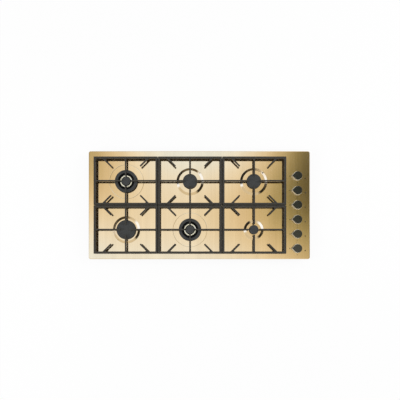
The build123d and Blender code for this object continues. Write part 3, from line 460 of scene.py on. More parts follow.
def brushed_gold(finish, colour):
    """Gold-toned steel brushed along Y: fine lines, wider streaks, and broad faint bands. It is
    darker along the pressed rings by painted shade, as exp(-(distance / width)^2)."""
    lines = finish.grain(0.45, 3, 0.6, (1, 160, 1))
    streaks = finish.grain(4, 2, 0.5, (1, 60, 1))
    bands = finish.grain(38, 1, 0.4, (1, 22, 1))
    tone = lines * 0.35 + streaks * 0.30 + bands * 0.35
    brushed = finish.tones(tone.between(0.32, 0.68), colour, 0.93, 1.07)
    x, y, _ = finish.split(finish.place)
    painted_ring_shade = 0
    for burner in BURNERS:
        if burner.dual:
            across, along = burner.place * MM
            off = squared(x - across, y - along).root() / (RING_RADIUS * MM) - 1
            painted_ring_shade = (off * off * (RING_RADIUS / RING_SHADE_WIDTH) ** 2).fading() + painted_ring_shade
    # painted shade: the plate's colour is darkened to 0.35 of itself along each pressed ring
    finish.coat(finish.mix(painted_ring_shade * 0.6, brushed, shade(colour, 0.35)),
                0.06 + lines * 0.05 + bands * 0.03, metallic=1.0)
    finish.relief(lines * 0.7 + streaks * 0.3, 0.0015)


def enamel(finish, colour):
    """Matte vitreous enamel: a faint orange-peel skin with slightly cloudy gloss."""
    peel = finish.grain(0.5, 3, 0.55)
    cloud = finish.grain(14, 3)
    speck = finish.grain(0.25, 1).between(0.60, 0.72)
    finish.coat(finish.tones(cloud * 0.8 + speck * 0.2, colour, 0.75, 1.35),
                0.40 + cloud * 0.12, gloss=0.3)
    finish.relief(peel, 0.02)


def cast(finish, colour, roughness, metallic, grain, depth, gloss=0.5):
    """Cast surface: pits and grains of one size over soft clouds of gloss and tone."""
    sand = finish.grain(grain, 4, 0.6)
    pits = finish.cells(grain * 2.2).between(0.0, 0.45)
    cloud = finish.grain(25, 3)
    finish.coat(finish.tones(cloud * 0.6 + sand * 0.4, colour, 0.72, 1.3),
                roughness - 0.07 + sand * 0.08 + cloud * 0.06, metallic, gloss)
    finish.relief(sand * 0.6 + pits * 0.4, depth)


def machined(finish, colour, roughness, line=0.3, stretch=(1, 1, 1), metallic=1.0):
    """Turned or drawn metal: fine lines and a slight clouding of the gloss."""
    lines = finish.grain(line, 2, 0.5, stretch)
    cloud = finish.grain(9, 3)
    finish.coat(finish.tones(lines * 0.5 + cloud * 0.5, colour, 0.86, 1.1),
                roughness - 0.05 + lines * 0.06 + cloud * 0.05, metallic)
    finish.relief(lines, 0.006)


def moulded(finish, colour, roughness, grain=0.35, depth=0.015, gloss=0.5):
    """Moulded plastic, rubber or glazed ceramic: a fine texture with a slight mottle."""
    texture = finish.grain(grain)
    mottle = finish.grain(12)
    finish.coat(finish.tones(mottle * 0.7 + texture * 0.3, colour, 0.86, 1.14),
                roughness - 0.04 + mottle * 0.08, gloss=gloss)
    finish.relief(texture, depth)


def foam(finish, colour):
    """Closed-cell foam: small dark pores between rounded cells."""
    cells = finish.cells(0.9)
    tone = finish.grain(6)
    finish.coat(finish.tones(cells.between(0.1, 0.7), colour, 0.6, 1.25), 0.82 + tone * 0.12)
    finish.relief(1 - cells, 0.12)


def galvanised(finish, colour):
    """Galvanised sheet: flat crystals of zinc that differ in tone and gloss."""
    crystal, fine = finish.cells(11, random=True), finish.cells(4, random=True)
    dust = finish.grain(1.2, 3, 0.6)
    finish.coat(finish.tones(crystal * 0.55 + fine * 0.25 + dust * 0.2, colour, 0.80, 1.14),
                0.34 + crystal * 0.14 + dust * 0.06, metallic=0.85)
    finish.relief(dust * 0.6 + crystal * 0.4, 0.01)


@cache
def finishes():
    """Every look, as its material and its slot in the record, which is what stands before the
    stroke in its key. The key without a stroke is the look of the slot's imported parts."""
    mine = bpy.context.scene.cooktop_colours
    rows = {
        "plate_gold": ("brushed_gold_plate", brushed_gold, mine.gold),
        "plate_gold/ink": ("black_print", moulded, (0.010, 0.009, 0.008), 0.5, 0.2, 0.002, 0.3),
        "plate_gold/red": ("red_brown_print", moulded, (0.30, 0.07, 0.04), 0.5, 0.2, 0.002),
        "knob_black": ("satin_black_knob", moulded, mine.knob, 0.12, 0.35, 0.002, 1.0),
        # the skirt's pale colour is a painted highlight of its metal
        "knob_black/skirt": (
            "pale_knob_skirt", machined, mine.skirt, 0.30, 0.3, (1, 1, 20), 0.6),
        "cap_enamel": ("matte_cap_enamel", enamel, mine.enamel),
        "cast_iron": ("enamelled_cast_iron", cast, mine.iron, 0.44, 0.0, 0.7, 0.12, 0.3),
        "cast_iron/pad": ("black_rubber_pad", moulded, (0.03, 0.03, 0.03), 0.7),
        "brass": ("machined_brass", machined, (0.72, 0.53, 0.24), 0.30),
        "brass/crown": ("pale_polished_crown", machined, mine.crown, 0.32, 0.35, (1, 1, 1), 0.4),
        # the port ring's near-black colour is painted shade, for the deep gap under the inner cap
        "brass/ports": ("dark_port_ring", cast, (0.012, 0.012, 0.012), 0.6, 0.0, 0.4, 0.02, 0.2),
        "seal_foam": ("black_foam_seal", foam, (0.035, 0.035, 0.036)),
        "galvanised": ("galvanised_casing", galvanised, (0.58, 0.60, 0.61)),
        "zinc_steel": ("zinc_plated_steel", machined, (0.62, 0.62, 0.60), 0.33, 0.4),
        "cast_aluminium": ("die_cast_aluminium", cast, (0.56, 0.56, 0.55), 0.46, 0.9, 0.5, 0.03),
        "spreader_alloy": ("machined_spreader", cast, (0.42, 0.41, 0.39), 0.42, 0.9, 0.35, 0.02),
        # the parts in this slot are near-black as painted shade, for the deep gap round the inner
        # crown
        "crown_dark": (
            "dark_coated_crown", cast, (0.006, 0.006, 0.006), 0.6, 0.0, 0.4, 0.03, 0.15),
        "pipe_aluminium": (
            "drawn_aluminium_pipe", machined, (0.66, 0.66, 0.67), 0.34, 0.3, (12, 12, 1)),
        "ceramic_white": ("glazed_ceramic", moulded, (0.84, 0.82, 0.77), 0.12, 0.8, 0.006, 0.7),
        "module_plastic": ("black_module_plastic", moulded, (0.03, 0.03, 0.032), 0.5),
        "lead_silicone": ("pale_silicone", moulded, (0.66, 0.64, 0.60), 0.55),
        "lead_copper": ("drawn_copper", machined, (0.78, 0.42, 0.27), 0.28, 0.25),
        "stem_steel": ("turned_steel_stem", machined, (0.62, 0.62, 0.62), 0.28, 0.2, (8, 8, 1)),
    }
    made = {}
    for key, (name, pattern, colour, *rest) in rows.items():
        finish = Finish(name)
        pattern(finish, tuple(colour), *rest)
        made[key] = (finish.material, key.split("/")[0])
    return made


class Step(Operator):
    """A step of building the cooktop."""

    bl_options = {"REGISTER", "UNDO"}

    def execute(self, context):
        self.make(context.scene.cooktop_sizes)
        return {"FINISHED"}


# ---- plate
def plate_edge(sizes):
    """Profile of the rim as (offset, height), from the top, round the rolled edge, to the
    underside: a quarter circle of the roll's radius, a straight skirt and its mirror inside."""
    roll = sizes.rim_roll / MM
    start, middle = -roll - 1.2, (-roll, DECK - roll)
    # the skirt's foot stands clear of the worktop, on which the seal lies
    low = box("worktop_seal")[0][2] + 0.5
    return joined(
        (start, DECK), bend(middle, roll, 90, 0, 9), (0, low + 0.3), (-0.3, low),
        (0.3 - SHEET, low), (-SHEET, low + 0.3), bend(middle, roll - SHEET, 0, 90),
        (start, DECK - SHEET))


def collar_slope(inner, outer, rise):
    """Profile of a collar's slope, inwards and up: a straight line with a fillet at its foot and
    one at its top. A fillet of radius r on a fold of angle a starts r tan(a / 2) before it. Two
    points on the line, near its ends, keep the shading of the fillets off it."""
    fold = atan2(rise, outer - inner)
    reach = COLLAR_FILLET * tan(fold / 2)
    turn = degrees(fold)
    foot = bend((outer + reach, DECK + COLLAR_FILLET), COLLAR_FILLET, -90, -90 - turn, 5)
    crest = bend((inner - reach, DECK + rise - COLLAR_FILLET), COLLAR_FILLET, 90 - turn, 90, 5)
    share = np.array([[0.05], [0.95]])
    return joined(foot, foot[-1] + (crest[0] - foot[-1]) * share, crest)


def ring_dip(depth):
    """Profile of the ring pressed round a dual-crown burner, inwards: one wave of a cosine."""
    wave = np.linspace(-1, 1, 13)
    return np.stack([RING_RADIUS - RING_HALF * wave,
                     DECK - depth * (0.5 + 0.5 * np.cos(pi * wave))], 1)


def opening_profile(burner, sizes):
    """Profile of the plate round a burner, from the flat top inwards, over its collar or ring
    and the hole's edge, and back along the underside."""
    if burner.dual:
        inner, outer, rise = RING_RADIUS - RING_HALF, RING_RADIUS + RING_HALF, 0
        shape = ring_dip(sizes.ring_depth / MM)
        back = [(outer, DECK - SHEET)]
    else:
        inner, outer = burner.collar
        rise = sizes.collar_height / MM
        shape = collar_slope(inner, outer, rise)
        back = [(inner, DECK + rise - SHEET), (outer, DECK - SHEET)]
    hole, top, start = burner.radius - 3, DECK + rise, outer + 2.2
    return joined(
        (start, DECK), shape, (inner - 1.2, top), (hole + 2, top), (hole + 1.2, top),
        bend((hole + 0.5, top - 0.5), 0.5, 90, 180, 5), (hole, top - SHEET),
        (hole + 1, top - SHEET), back, (start, DECK - SHEET))


def stud_places():
    """(x, y, height of the root, length) of the threaded studs under the plate: twelve along
    its edges, and three for each burner."""
    under = DECK - SHEET
    rows = (((-480, -240, 240, 480), (-246.5, 246.5)), ((-522.5, 522.5), (-90, 90)))
    places = [(x, y, under, 4) for across, along in rows for x in across for y in along]
    for burner, side in zip(BURNERS, (90, -90, 0, -90, -90, 0)):
        for third in (60, 180, 300):
            place = burner.at(burner.radius + 1.5, side + third)
            places.append((*place, under + (0 if burner.dual else COLLAR_RISE), 6.5))
    return places


class CooktopPlate(Step):
    """Pressed top plate with a rolled rim, collars, rings and holes, and its threaded studs"""

    bl_idname = "cooktop.plate"
    bl_label = "Top plate"

    def make(self, sizes):
        low, high = box("top_plate")
        outline = rounded_outline(rectangle(*(high - low)[:2] / 2), 10, 14)
        hole = joined((7.2, DECK), bend((6.3, DECK - 0.3), 0.3, 90, 180, 4), (6, DECK - SHEET),
                      (7.2, DECK - SHEET))
        Shell().capped(
            carried(*outline, plate_edge(sizes)),
            *(turned(opening_profile(burner, sizes), burner.place, 144) for burner in BURNERS),
            *(turned(hole, place, 40) for place in KNOBS),
        ).build("plate_surface", "plate_gold", "casing", "top_plate", crease=50)

        studs = Shell()
        for x, y, root, reach in stud_places():
            ridge = np.arange(2 * int(reach / STUD_PITCH))
            thread = np.stack([np.where(ridge % 2, 1.62, 1.98),
                               root - 0.5 - ridge * STUD_PITCH / 2], 1)
            tip = root - reach
            profile = joined((0, root + 0.1), (2.6, root + 0.1), (2.0, root - 0.4),
                             thread[thread[:, 1] > tip + 0.5], (1.5, tip), (0, tip))
            studs.sheet(turned(profile, (x, y), 16))
        studs.build("plate_studs", "zinc_steel", "casing", "top_plate")


# ---- printed marks
def droplet(size, place):
    """Outline of a flame-shaped drop: a circle whose upper half narrows to a point as
    x = r sin(a) sin(a/2)^1.5, and a quarter higher than it is wide."""
    a = full_turn(24)
    return place + size * np.stack([np.sin(a) * np.sin(a / 2) ** 1.5, 1.25 * np.cos(a)], 1)


def dot(size, place):
    """Outline of a small disc."""
    return place + size * directions(full_turn(20))


def print_film(shell, *outlines):
    """A thin raised film over each outline, from 0.02 mm in the plate to 0.05 mm above it."""
    film = np.array([(0, DECK - 0.02), (0, DECK + 0.05)])
    for outline in outlines:
        shell.capped(carried(outline, 0 * outline, film))


class CooktopMarks(Step):
    """Plain printed signs round the knobs: off, large and small flame, and which burner"""

    bl_idname = "cooktop.marks"
    bl_label = "Printed marks"

    def make(self, sizes):
        shell = Shell()
        # each knob's burner: back left, right and middle, then front right, middle and left
        for place, served in zip(KNOBS, (0, 2, 1, 5, 4, 3)):
            print_film(shell, dot(2.4, place + (-35.5, 0)), droplet(2.0, place + (0, -30.5)),
                       droplet(3.4, place + (39, -9.5)))
            for spot in range(6):
                row, column = divmod(spot, 3)
                print_film(shell, dot(1.0 if spot == served else 0.45,
                                      place + (3.2 * (column - 1), 33.0 - 3.2 * row)))
        shell.build("knob_marks", "plate_gold/ink", "casing", "top_plate")
        red = Shell()
        print_film(red, dot(1.3, KNOBS[0] + (49, -12)))
        red.build("spark_mark", "plate_gold/red", "casing", "top_plate")


# ---- grates
BAR_WIDTH = 11.4
LEG_INSET = 5.8
HALF_FINGER = 3.8
FINGER_TIP = 25
TIP_ROUND = 1.7
# Along a level line, half the width of a diagonal finger, and the ends of its tip
SKEW = HALF_FINGER * sqrt(2)
NEAR, FAR = 70 - SKEW / 2, 70 + SKEW / 2
# Half size and height above the plate of the squares that make a leg, and a pad on its foot
LEG = ((5.45, 28.0), (5.45, 26.0), (5.0, 17.0), (4.0, 3.0), (3.7, 2.6))
PAD = ((3.3, 0.0), (3.9, 0.3), (4.3, 1.4), (4.35, 3.0), (4.2, 3.5), (3.6, 3.7))


def casting_outlines(inside):
    """Outer and inner outline of a grate at its foot, about its own middle. The inner one runs
    from finger to finger; one quarter of it is written out and the others are mirrored."""
    ix, iy = inside
    quarter = np.array([
        (HALF_FINGER, FINGER_TIP), (HALF_FINGER, iy), (iy - SKEW, iy), (NEAR, FAR),
        (FAR, NEAR), (iy + SKEW, iy), (ix, iy), (ix, HALF_FINGER), (FINGER_TIP, HALF_FINGER)])
    radii = [TIP_ROUND, 3.0, 3.0, TIP_ROUND, TIP_ROUND, 2.0, 1.5, 3.0, TIP_ROUND]
    inner = np.concatenate([quarter, quarter[::-1] * (1, -1), -quarter, quarter[::-1] * (-1, 1)])
    return (spaced(*rounded_outline(rectangle(*GRATE_HALF), 2.5, 8), 12),
            spaced(*rounded_outline(inner, (radii + radii[::-1]) * 2), 4))


def casting_side(points, square, inside, sizes):
    """Side of a cast bar, from its top to its underside. The bar is 14.8 mm deep in the frame and
    9.3 mm in the fingers, with a smooth step over the first 12 mm of a finger; its sides lean
    by 0.05 of their height."""
    depth = 14.8 - 5.5 * eased((inside - np.abs(points)).min(1) / 12)
    edge, foot = sizes.cast_round / MM, 0.8
    profile = joined((-edge - 0.1, 0), bend((-edge, -edge), edge, 90, 0),
                     bend((-foot, foot), foot, 0, -90, 4), (-foot - 0.5, 0))
    lower = np.repeat([0, 1], [7, 5])[:, None]
    return carried(points, square, profile[:, :1] - 0.05 * depth * (1 - lower),
                   FRAME_TOP + profile[:, 1:] - depth * lower)


def finger_ridges():
    """Outlines of the fingers' upper parts, from their tips over the frame to 1.5 mm inside the
    grate's edge. The diagonal ones end along that edge."""
    end_x, end_y = GRATE_HALF - 1.5
    mid_x, mid_y = (FINGER_TIP + end_x) / 2, (FINGER_TIP + end_y) / 2
    along_x = rectangle(end_x - mid_x, HALF_FINGER, (mid_x, 0))
    along_y = rectangle(HALF_FINGER, end_y - mid_y, (0, mid_y))
    diagonal = np.array([(FAR, NEAR), (end_y + SKEW, end_y), (end_y - SKEW, end_y), (NEAR, FAR)])
    corners = [along_x, -along_x, along_y, -along_y, diagonal, -diagonal,
               diagonal[::-1] * (-1, 1), diagonal[::-1] * (1, -1)]
    return [spaced(*rounded_outline(outline, TIP_ROUND, 5), 12) for outline in corners]


def ridge_side(sizes):
    """Profile of a finger's upper part, just outside the casting's own finger: a leaning side,
    and the same rounding as along the frame."""
    edge, side, low = sizes.cast_round / MM, -0.5, FRAME_TOP - 2.8
    return joined((-1.2, low), (-0.32, low), bend((side - edge, GRATE_TOP - edge), edge, 0, 90),
                  (side - edge - 0.05, GRATE_TOP))


def square_rows(place, rows, radius):
    """Rounded squares of given half size and height above the plate, one above the other."""
    return np.array([
        raised(rounded_outline(rectangle(half, half, place), radius, 5)[0], DECK + height)
        for half, height in rows])


class CooktopGrates(Step):
    """Cast-iron grates with tapered bars, fingers that deepen into the frame, legs and pads"""

    bl_idname = "cooktop.grates"
    bl_label = "Grates"

    def make(self, sizes):
        inside = GRATE_HALF - BAR_WIDTH
        casting, pads = Shell(), Shell()
        casting.capped(*(casting_side(*outline, inside, sizes)
                         for outline in casting_outlines(inside)))
        for outline in finger_ridges():
            casting.capped(carried(*outline, ridge_side(sizes)))
        for corner in rectangle(*GRATE_HALF - LEG_INSET):
            casting.capped(square_rows(corner, LEG, 3.2))
            pads.capped(square_rows(corner, PAD, 2.2))
        for burner in BURNERS:
            node = "grate_" + burner.name
            casting.build("grate_casting_" + burner.name, "cast_iron", node, node, 40, burner.place)
            pads.build("grate_pads_" + burner.name, "cast_iron/pad", node, node, 40, burner.place)


# ---- burners
def domed_cap(radius):
    """Profile of a plain cap above its seat: a flat foot with a locating lip below it, a rounded
    edge, and a dome that rises as the square of the distance from the edge."""
    lip, edge, shoulder = radius - 7.3, 1.6, CAP_HEIGHT - 1
    across = np.linspace(1, 0, 14)[:, None]
    dome = np.concatenate([(radius - edge) * across, shoulder + 1 - across ** 2], 1)
    return joined(
        (0, 0), (lip - 2, 0), (lip - 1.8, -2.8), (lip - 0.2, -2.8), (lip, 0), (radius - 1, 0),
        bend((radius - 0.5, 0.5), 0.5, -90, 0, 4),
        bend((radius - edge, shoulder - edge), edge, 0, 84, 8), dome)


def ring_cap(outer):
    """Profile of the outer cap of a dual-crown burner: a flat ring with rounded upper edges."""
    inner, edge, top = 40, 1.7, CAP_HEIGHT
    return joined(
        (inner + 0.4, 0), (outer - 0.6, 0), bend((outer - 0.5, 0.5), 0.5, -90, 0, 4),
        bend((outer - edge, top - edge), edge, 0, 90, 8), (outer - 3, top), (inner + 3, top),
        bend((inner + edge, top - edge), edge, 90, 180, 8), (inner, 0.4), (inner + 0.4, 0))


class CooktopCaps(Step):
    """Enamelled burner caps: domed discs, and rings on the dual-crown burners"""

    bl_idname = "cooktop.caps"
    bl_label = "Burner caps"

    def make(self, sizes):
        for burner in BURNERS:
            for cap in burner.caps:
                low, high = box(cap)
                shape = ring_cap if cap.startswith("outer") else domed_cap
                profile = shape((high[0] - low[0]) / 2) + (0, high[2] - CAP_HEIGHT)
                Shell().sheet(turned(profile, burner.place, 128)).build(
                    cap + "_enamel", "cap_enamel", cap, cap, crease=40)


def notched(tooth, notch, count, width, place):
    """Two profiles of equal length turned together: the second one inside narrow notches of the
    given angle, the first one on the teeth between them, with upright walls where they meet."""
    pitch, half, step = 2 * pi / count, width / 2, 1e-4
    along = 5 + 80 // count
    spots = np.concatenate([[-half, 0, half], np.linspace(half + step, pitch - half - step, along)])
    turn = (np.arange(count)[:, None] * pitch + spots).ravel()
    on_tooth = np.tile(np.repeat([0.0, 1.0], [3, along]), count)
    shape = notch[:, None] + (tooth - notch)[:, None] * on_tooth[:, None]
    return raised(place + shape[..., :1] * directions(turn), shape[..., 1])


class CooktopCrowns(Step):
    """Inner crowns of the dual-crown burners: a pale ring in four parts on a port ring in near-black
    painted shade
    """

    bl_idname = "cooktop.crowns"
    bl_label = "Inner crowns"

    def make(self, sizes):
        top, shelf = 11, 4.6
        # the pale ring: an upright wall, rounded edges and a crowned top, open at four fingers
        ring = joined(
            (28.6, shelf - 1), (28.9, shelf - 0.6), bend((27.1, top - 2.4), 1.8, 0, 70, 8),
            (26.0, top - 0.2), (25.0, top - 0.3), bend((24.4, top - 1.6), 1.2, 80, 180, 7),
            (23.2, shelf - 0.6), (23.5, shelf - 1), (28.6, shelf - 1))
        gap = np.minimum(ring, (np.inf, shelf - 0.5))
        # the port ring: a low shelf outside, and slots 5 mm deep under the cap's edge
        ports = joined(
            (14.2, 0), (30.6, 0), (31, 0.4), (31, shelf - 0.4), (30.6, shelf), (22.4, shelf),
            (21.2, 6), (21.0, top - 0.3), (20.7, top), (17.4, top), (17, top - 0.4), (17, 3),
            (14, 3), (14, 0.2), (14.2, 0))
        wall = (ports[:, :1] > 16.5) & (ports[:, :1] < 22)
        slot = np.where(wall, np.minimum(ports, (np.inf, top - 5)), ports)
        # each opening's width over the radius at which it has that width
        rows = (("inner_crown_", "brass/crown", ring, gap, 4, 7.6 / 26),
                ("inner_ports_", "brass/ports", ports, slot, sizes.crown_ports, 1.6 / 20))
        for burner in BURNERS:
            if burner.dual:
                for name, look, *shape in rows:
                    grid = notched(*shape, burner.place) + (0, 0, NECK_TOP + 2)
                    Shell().sheet(grid).build(
                        name + burner.name, look, "casing", "wok_inner_crown", crease=40)


class CooktopProbes(Step):
    """Spark plugs with ribbed ceramics, and the flame sensors beside the burners"""

    bl_idname = "cooktop.probes"
    bl_label = "Spark plugs and sensors"

    def make(self, sizes):
        # profiles above the top of the burners' necks
        ceramic = joined((0, -12), (2.6, -12), (3, -11.5), (3, 0.6), (2.5, 1), (2.5, 1.5),
                         (2.95, 2), (2.95, 3.4), bend((1.6, 3.7), 1.3, 10, 90), (0, 5))
        wire = joined((0, 4.6), (0.8, 4.6), (0.8, 7.8), bend((0.1, 7.8), 0.7, 0, 90, 4), (0, 8.5))
        low = box("flame_sensors")[0][2] - NECK_TOP
        sleeve = joined((0, low), (2.6, low), (2.8, low + 0.3), (2.8, 1.2), (2.4, 1.6), (2.4, 2),
                        (0, 2))
        tip = joined((0, 1.8), (1.8, 1.8), (1.8, 6.6), bend((0.4, 6.6), 1.4, 0, 90), (0, 8))
        # the angle is a front burner's, and a back burner's is its mirror
        for name, look, node, angle, profile, steps in (
                ("spark_ceramics", "ceramic_white", "spark_plugs", 135, ceramic, 40),
                ("spark_electrodes", "stem_steel", "spark_plugs", 135, wire, 20),
                ("sensor_sleeves", "brass", "flame_sensors", 45, sleeve, 32),
                ("sensor_tips", "stem_steel", "flame_sensors", 45, tip, 28)):
            shell = Shell()
            for burner in BURNERS:
                side = -1 if burner.name.startswith("back") else 1
                place = burner.at(burner.radius - 7, side * angle)
                shell.sheet(turned(profile + (0, NECK_TOP), place, steps))
            shell.build(name, look, "casing", node)


# ---- knobs
KNOB_RADIUS = 21.5
BEAK_RADIUS = 3.2
BEAK_PLACE = -24.8
BEAK_TURN = 180 - degrees(acos((KNOB_RADIUS - BEAK_RADIUS) / -BEAK_PLACE))
BEAK_STEPS = 13
SKIRT_FLARE = 1.6
KNOB_LEAN = 3


def knob_outline(flutes):
    """Teardrop outline by the angle of its normal: an arc of the large circle, then one of the
    beak's small circle, whose common tangents are the straight sides. Also each point's
    direction, and its share of a flute: the sixth power of a cosine, fading towards the beak."""
    steps = flutes * 8
    angles = np.concatenate([np.linspace(-BEAK_TURN, BEAK_TURN, steps),
                             np.linspace(BEAK_TURN, 360 - BEAK_TURN, BEAK_STEPS)])
    square = directions(np.radians(angles))
    on_beak = np.repeat([0.0, 1.0], [steps, BEAK_STEPS])
    points = square * (KNOB_RADIUS + (BEAK_RADIUS - KNOB_RADIUS) * on_beak)[:, None]
    points[:, 0] += BEAK_PLACE * on_beak
    wave = np.cos(np.radians(angles) * flutes / 2) ** 6
    return points, square, wave * eased((BEAK_TURN - np.abs(angles)) / 12) * (1 - on_beak)


class CooktopKnobs(Step):
    """Beaked knobs: a fluted skirt, pale as a painted highlight, wider at its foot, under a satin
    black face
    """

    bl_idname = "cooktop.knobs"
    bl_label = "Knobs"

    def make(self, sizes):
        points, square, flute = knob_outline(sizes.flutes)
        low, high = box("knob_1")
        foot, top = low[2], high[2] - low[2]
        split, lean, edge = top - 2.4, tan(radians(KNOB_LEAN)), 0.9
        # the skirt, from its top inner edge, over its outer wall and up the hollow inside: each
        # row's height above the foot, its inset, and its share of the flutes' depth
        rise, inset, fluted = np.array([
            (split, 2.4, 0), (split, 0.5, 0), (split - 0.5, 0.05, 0), (14.5, 0, 0), (13.7, 0, 1),
            (8, 0, 1), (2.6, 0, 1), (1.8, 0, 0), (0.5, 0, 0), (0, 0.4, 0), (0, 2.2, 0),
            (0.5, 2.8, 0), (top - 4, 2.8, 0)]).T[..., None]
        flare = SKIRT_FLARE * (1 - eased(rise / 15)) * (inset < 1)
        offsets = (flare - inset - lean * rise * (inset < 2)
                   - fluted * flute * sizes.flute_depth / MM)
        inner = -lean * split
        face = joined((-3.2, split - 0.2), (inner - 0.55, split - 0.2), (inner - 0.25, split + 0.2),
                      bend((inner - 0.3 - edge, top - edge), edge, 0, 90), (inner - 2.0, top))
        for number, place in enumerate(KNOBS, 1):
            outline = points + place, square
            body, node = f"knob_and_stem_{number}", f"knob_{number}"
            Shell().capped(carried(*outline, offsets, foot + rise)).build(
                f"knob_skirt_{number}", "knob_black/skirt", body, node, crease=30)
            Shell().capped(carried(*outline, face + (0, foot))).build(
                f"knob_face_{number}", "knob_black", body, node, crease=40)


# ---- frame parts and stage
class CooktopFinishes(Step):
    """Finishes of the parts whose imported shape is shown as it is"""

    bl_idname = "cooktop.finishes"
    bl_label = "Finishes of the packed parts"

    def make(self, sizes):
        slots = {part["node"]: part["material_slot"] for part in frame["record"]["subparts"]}
        for name, node in frame["nodes"].items():
            for holder in node.material_slots:
                holder.material = finishes()[slots[name]][0]


# Soft lights on the studio's ceiling, at the back, the left and the front: how bright, the slope
# of the direction to their middle towards +X and +Y, and how wide they are along each
SOFT_LIGHTS = (
    (1.50, -0.05, 0.34, 0.105, 0.23), (1.50, 0.06, 0.34, 0.08, 0.16),
    (1.47, -0.35, -0.02, 0.21, 0.11), (1.13, 0.02, -0.10, 0.17, 0.12),
)
# Colour of the ceiling by how much of their light falls there
CEILING = (
    (0.0, (0.02, 0.02, 0.01)), (0.045, (0.11, 0.10, 0.05)), (0.12, (0.41, 0.39, 0.20)),
    (0.235, (0.75, 0.69, 0.47)), (0.35, (0.92, 0.84, 0.70)), (0.475, (1.01, 1.01, 0.95)),
    (0.6, (1.07, 1.12, 1.20)), (0.75, (1.12, 1.25, 1.50)), (1.0, (1.05, 1.36, 1.98)),
)
# Colour of the walls round the ceiling, by the bearing in degrees from +X, but for the brown of
# their lower part at the back
DARK = (0.03, 0.03, 0.03)
DIM = (0.35, 0.38, 0.42)
PALE = (0.85, 0.85, 0.82)
STRIP = (1.30, 1.65, 2.60)
WALLS = (
    (0, DARK), (4, DIM), (9, STRIP), (46, STRIP), (62, PALE), (100, PALE), (110, DARK),
    (177, DARK), (181, STRIP), (188, STRIP), (198, PALE), (303, PALE), (317, DARK), (360, DARK),
)
BROWN = (0.085, 0.065, 0.035)
# Colour of the room from the walls' foot down to the horizon, by the bearing
ROOM = (
    (0, (0.80, 0.80, 0.80)), (75, (1.15, 1.14, 1.12)), (150, (0.90, 0.90, 0.92)),
    (215, (0.75, 0.76, 0.78)), (285, (1.05, 1.04, 1.02)), (360, (0.80, 0.80, 0.80)),
)
# The slopes of the direction between which the ceiling turns into the walls, the walls into the
# room, and the walls at the back into brown; and how much further the walls reach at the back
CEILING_EDGE, WALLS_EDGE, BROWN_EDGE, REACH = (0.36, 0.50), (0.92, 0.99), (0.80, 0.86), 0.12
# A colour in a node goes from 0 to 1, and stands for a share of this
BRIGHTEST = 3.0
# The light that matt surfaces get from everywhere
LEVEL = 0.75


def studio_world():
    """White behind everything, an even level for matt surfaces, and for gloss a softly lit
    ceiling above pale and dark walls. Each soft light falls off as exp(-(distance / width)^2)."""
    world = bpy.data.worlds.new("studio")
    bpy.context.scene.world = world
    nodes = Nodes(world)
    x, y, z = nodes.split(nodes.node("TexCoord").outputs["Generated"])
    high = z.at_least(0.02)
    slope, depth = x / high, y / high
    light = 0.01
    for bright, middle_x, middle_y, width_x, width_y in SOFT_LIGHTS:
        off = squared((slope - middle_x) / width_x, (depth - middle_y) / width_y)
        light = off.fading() * bright + light
    turn = y.bearing(x) / (2 * pi)
    turn = turn + (1 - turn.between(-1e-4, 0))
    ceiling, walls, room = (
        nodes.ramp(value, [(at / whole, shade(colour, 1 / BRIGHTEST)) for at, colour in stops])
        for value, whole, stops in ((light, 1, CEILING), (turn, 360, WALLS), (turn, 360, ROOM)))
    walls = nodes.mix(depth.between(*BROWN_EDGE), walls, shade(BROWN, 1 / BRIGHTEST))
    tilt = squared(slope, depth).root()
    sky = nodes.mix(tilt.between(*CEILING_EDGE), ceiling, walls)
    reach = depth.between(-0.1, 0.1) * REACH
    sky = nodes.mix((tilt - reach).between(*WALLS_EDGE), sky, room)
    glossy, seen = nodes.rays("Glossy", "Camera")
    colour = nodes.mix(glossy, (LEVEL / BRIGHTEST,) * 3, sky)
    colour = nodes.mix(seen, colour, (1 / BRIGHTEST,) * 3)
    background = nodes.node("Background", {"Color": colour, "Strength": BRIGHTEST})
    nodes.node("OutputWorld", {"Surface": background.outputs[0]})
    # gloss looks the sky up itself, so the even level is never added to what it shows
    world.cycles.sampling_method = "NONE"


def pale_floor():
    """A wide disc just under the cooktop: matt white that keeps a soft shadow. It shines by
    itself, by 0.9 near the cooktop and by 1 far away, as the world does."""
    material = bpy.data.materials.new("pale_floor")
    nodes = Nodes(material)
    x, y, _ = nodes.split(nodes.node("TexCoord").outputs["Object"])
    away = squared(x, y).root().between(0.8, 2.5)
    camera, glossy, through = nodes.rays("Camera", "Glossy", "Transmission")
    matt = nodes.node("BsdfDiffuse", {"Color": (0.90, 0.90, 0.90)}).outputs[0]
    white = nodes.node("Emission", {"Color": (1, 1, 1), "Strength": 1}).outputs[0]
    share = (camera + glossy + through) * (0.90 + away * 0.10)
    mixed = nodes.node("MixShader", {0: share, 1: matt, 2: white}).outputs[0]
    nodes.node("OutputMaterial", {"Surface": mixed})
    disc = joined((0, 0), (1500, 0), (3000, 0), (6000, 0))
    floor = shown("floor", Shell().sheet(turned(disc, (0, 0), 64)).mesh("floor", material))
    floor.location.z = -0.0005


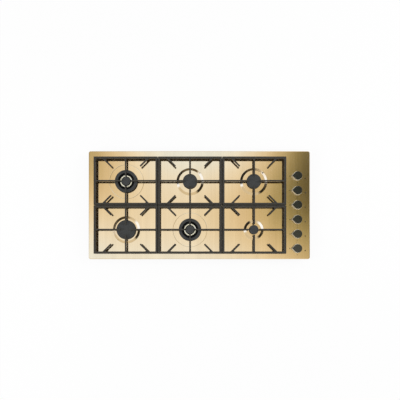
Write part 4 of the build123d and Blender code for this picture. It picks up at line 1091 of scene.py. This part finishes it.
def lamp(name, bearing, zenith=44, distance=2.6, size=1.0, power=14):
    """A square soft lamp at a bearing and an angle from overhead, aimed at the cooktop. Gloss
    shows the studio's walls in its place."""
    data = bpy.data.lights.new(name, "AREA")
    data.size, data.energy = size, power
    lit = shown(name, data)
    lit.visible_glossy = False
    way = Vector((*directions(radians(bearing)) * np.sin(radians(zenith)),
                  np.cos(radians(zenith))))
    lit.location = way * distance
    lit.rotation_mode = "QUATERNION"
    lit.rotation_quaternion = way.to_track_quat("Z", "Y")


class CooktopStage(Step):
    """Camera straight above, pale floor, even studio light and two soft lamps"""

    bl_idname = "cooktop.stage"
    bl_label = "Camera, floor and light"

    def make(self, sizes):
        data = bpy.data.cameras.new("camera")
        # the camera looks straight down, and the shift puts the cooktop where the photo has it
        data.sensor_width, data.lens, data.shift_y, data.clip_end = 36, 50.88, 0.1373, 50
        camera = shown("camera", data)
        camera.location = (0.0034, -0.243, 2.816)
        bpy.context.scene.camera = camera
        pale_floor()
        studio_world()
        lamp("right_lamp", 14)
        lamp("left_lamp", 192)
        bpy.context.scene.view_settings.view_transform = "Standard"


class CooktopPanel(Panel):
    """The steps of building the cooktop, and what may be changed"""

    bl_idname = "VIEW3D_PT_cooktop"
    bl_label = "Cooktop"
    bl_space_type = "VIEW_3D"
    bl_region_type = "UI"
    bl_category = "Cooktop"

    def draw(self, context):
        for step in STEPS:
            self.layout.operator(step.bl_idname)
        for group in (context.scene.cooktop_sizes, context.scene.cooktop_colours):
            for name in group.__annotations__:
                self.layout.prop(group, name)


STEPS = (CooktopFinishes, CooktopPlate, CooktopMarks, CooktopGrates, CooktopCaps, CooktopCrowns,
         CooktopProbes, CooktopKnobs, CooktopStage)
CLASSES = (CooktopSizes, CooktopColours, *STEPS, CooktopPanel)


def register():
    for part in CLASSES:
        bpy.utils.register_class(part)
    bpy.types.Scene.cooktop_sizes = PointerProperty(type=CooktopSizes)
    bpy.types.Scene.cooktop_colours = PointerProperty(type=CooktopColours)


def unregister():
    del bpy.types.Scene.cooktop_colours
    del bpy.types.Scene.cooktop_sizes
    for part in reversed(CLASSES):
        bpy.utils.unregister_class(part)


def main():
    register()
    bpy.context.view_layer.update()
    for step in STEPS:
        group, action = step.bl_idname.split(".")
        getattr(getattr(bpy.ops, group), action)()


if __name__ == "__main__":
    main()
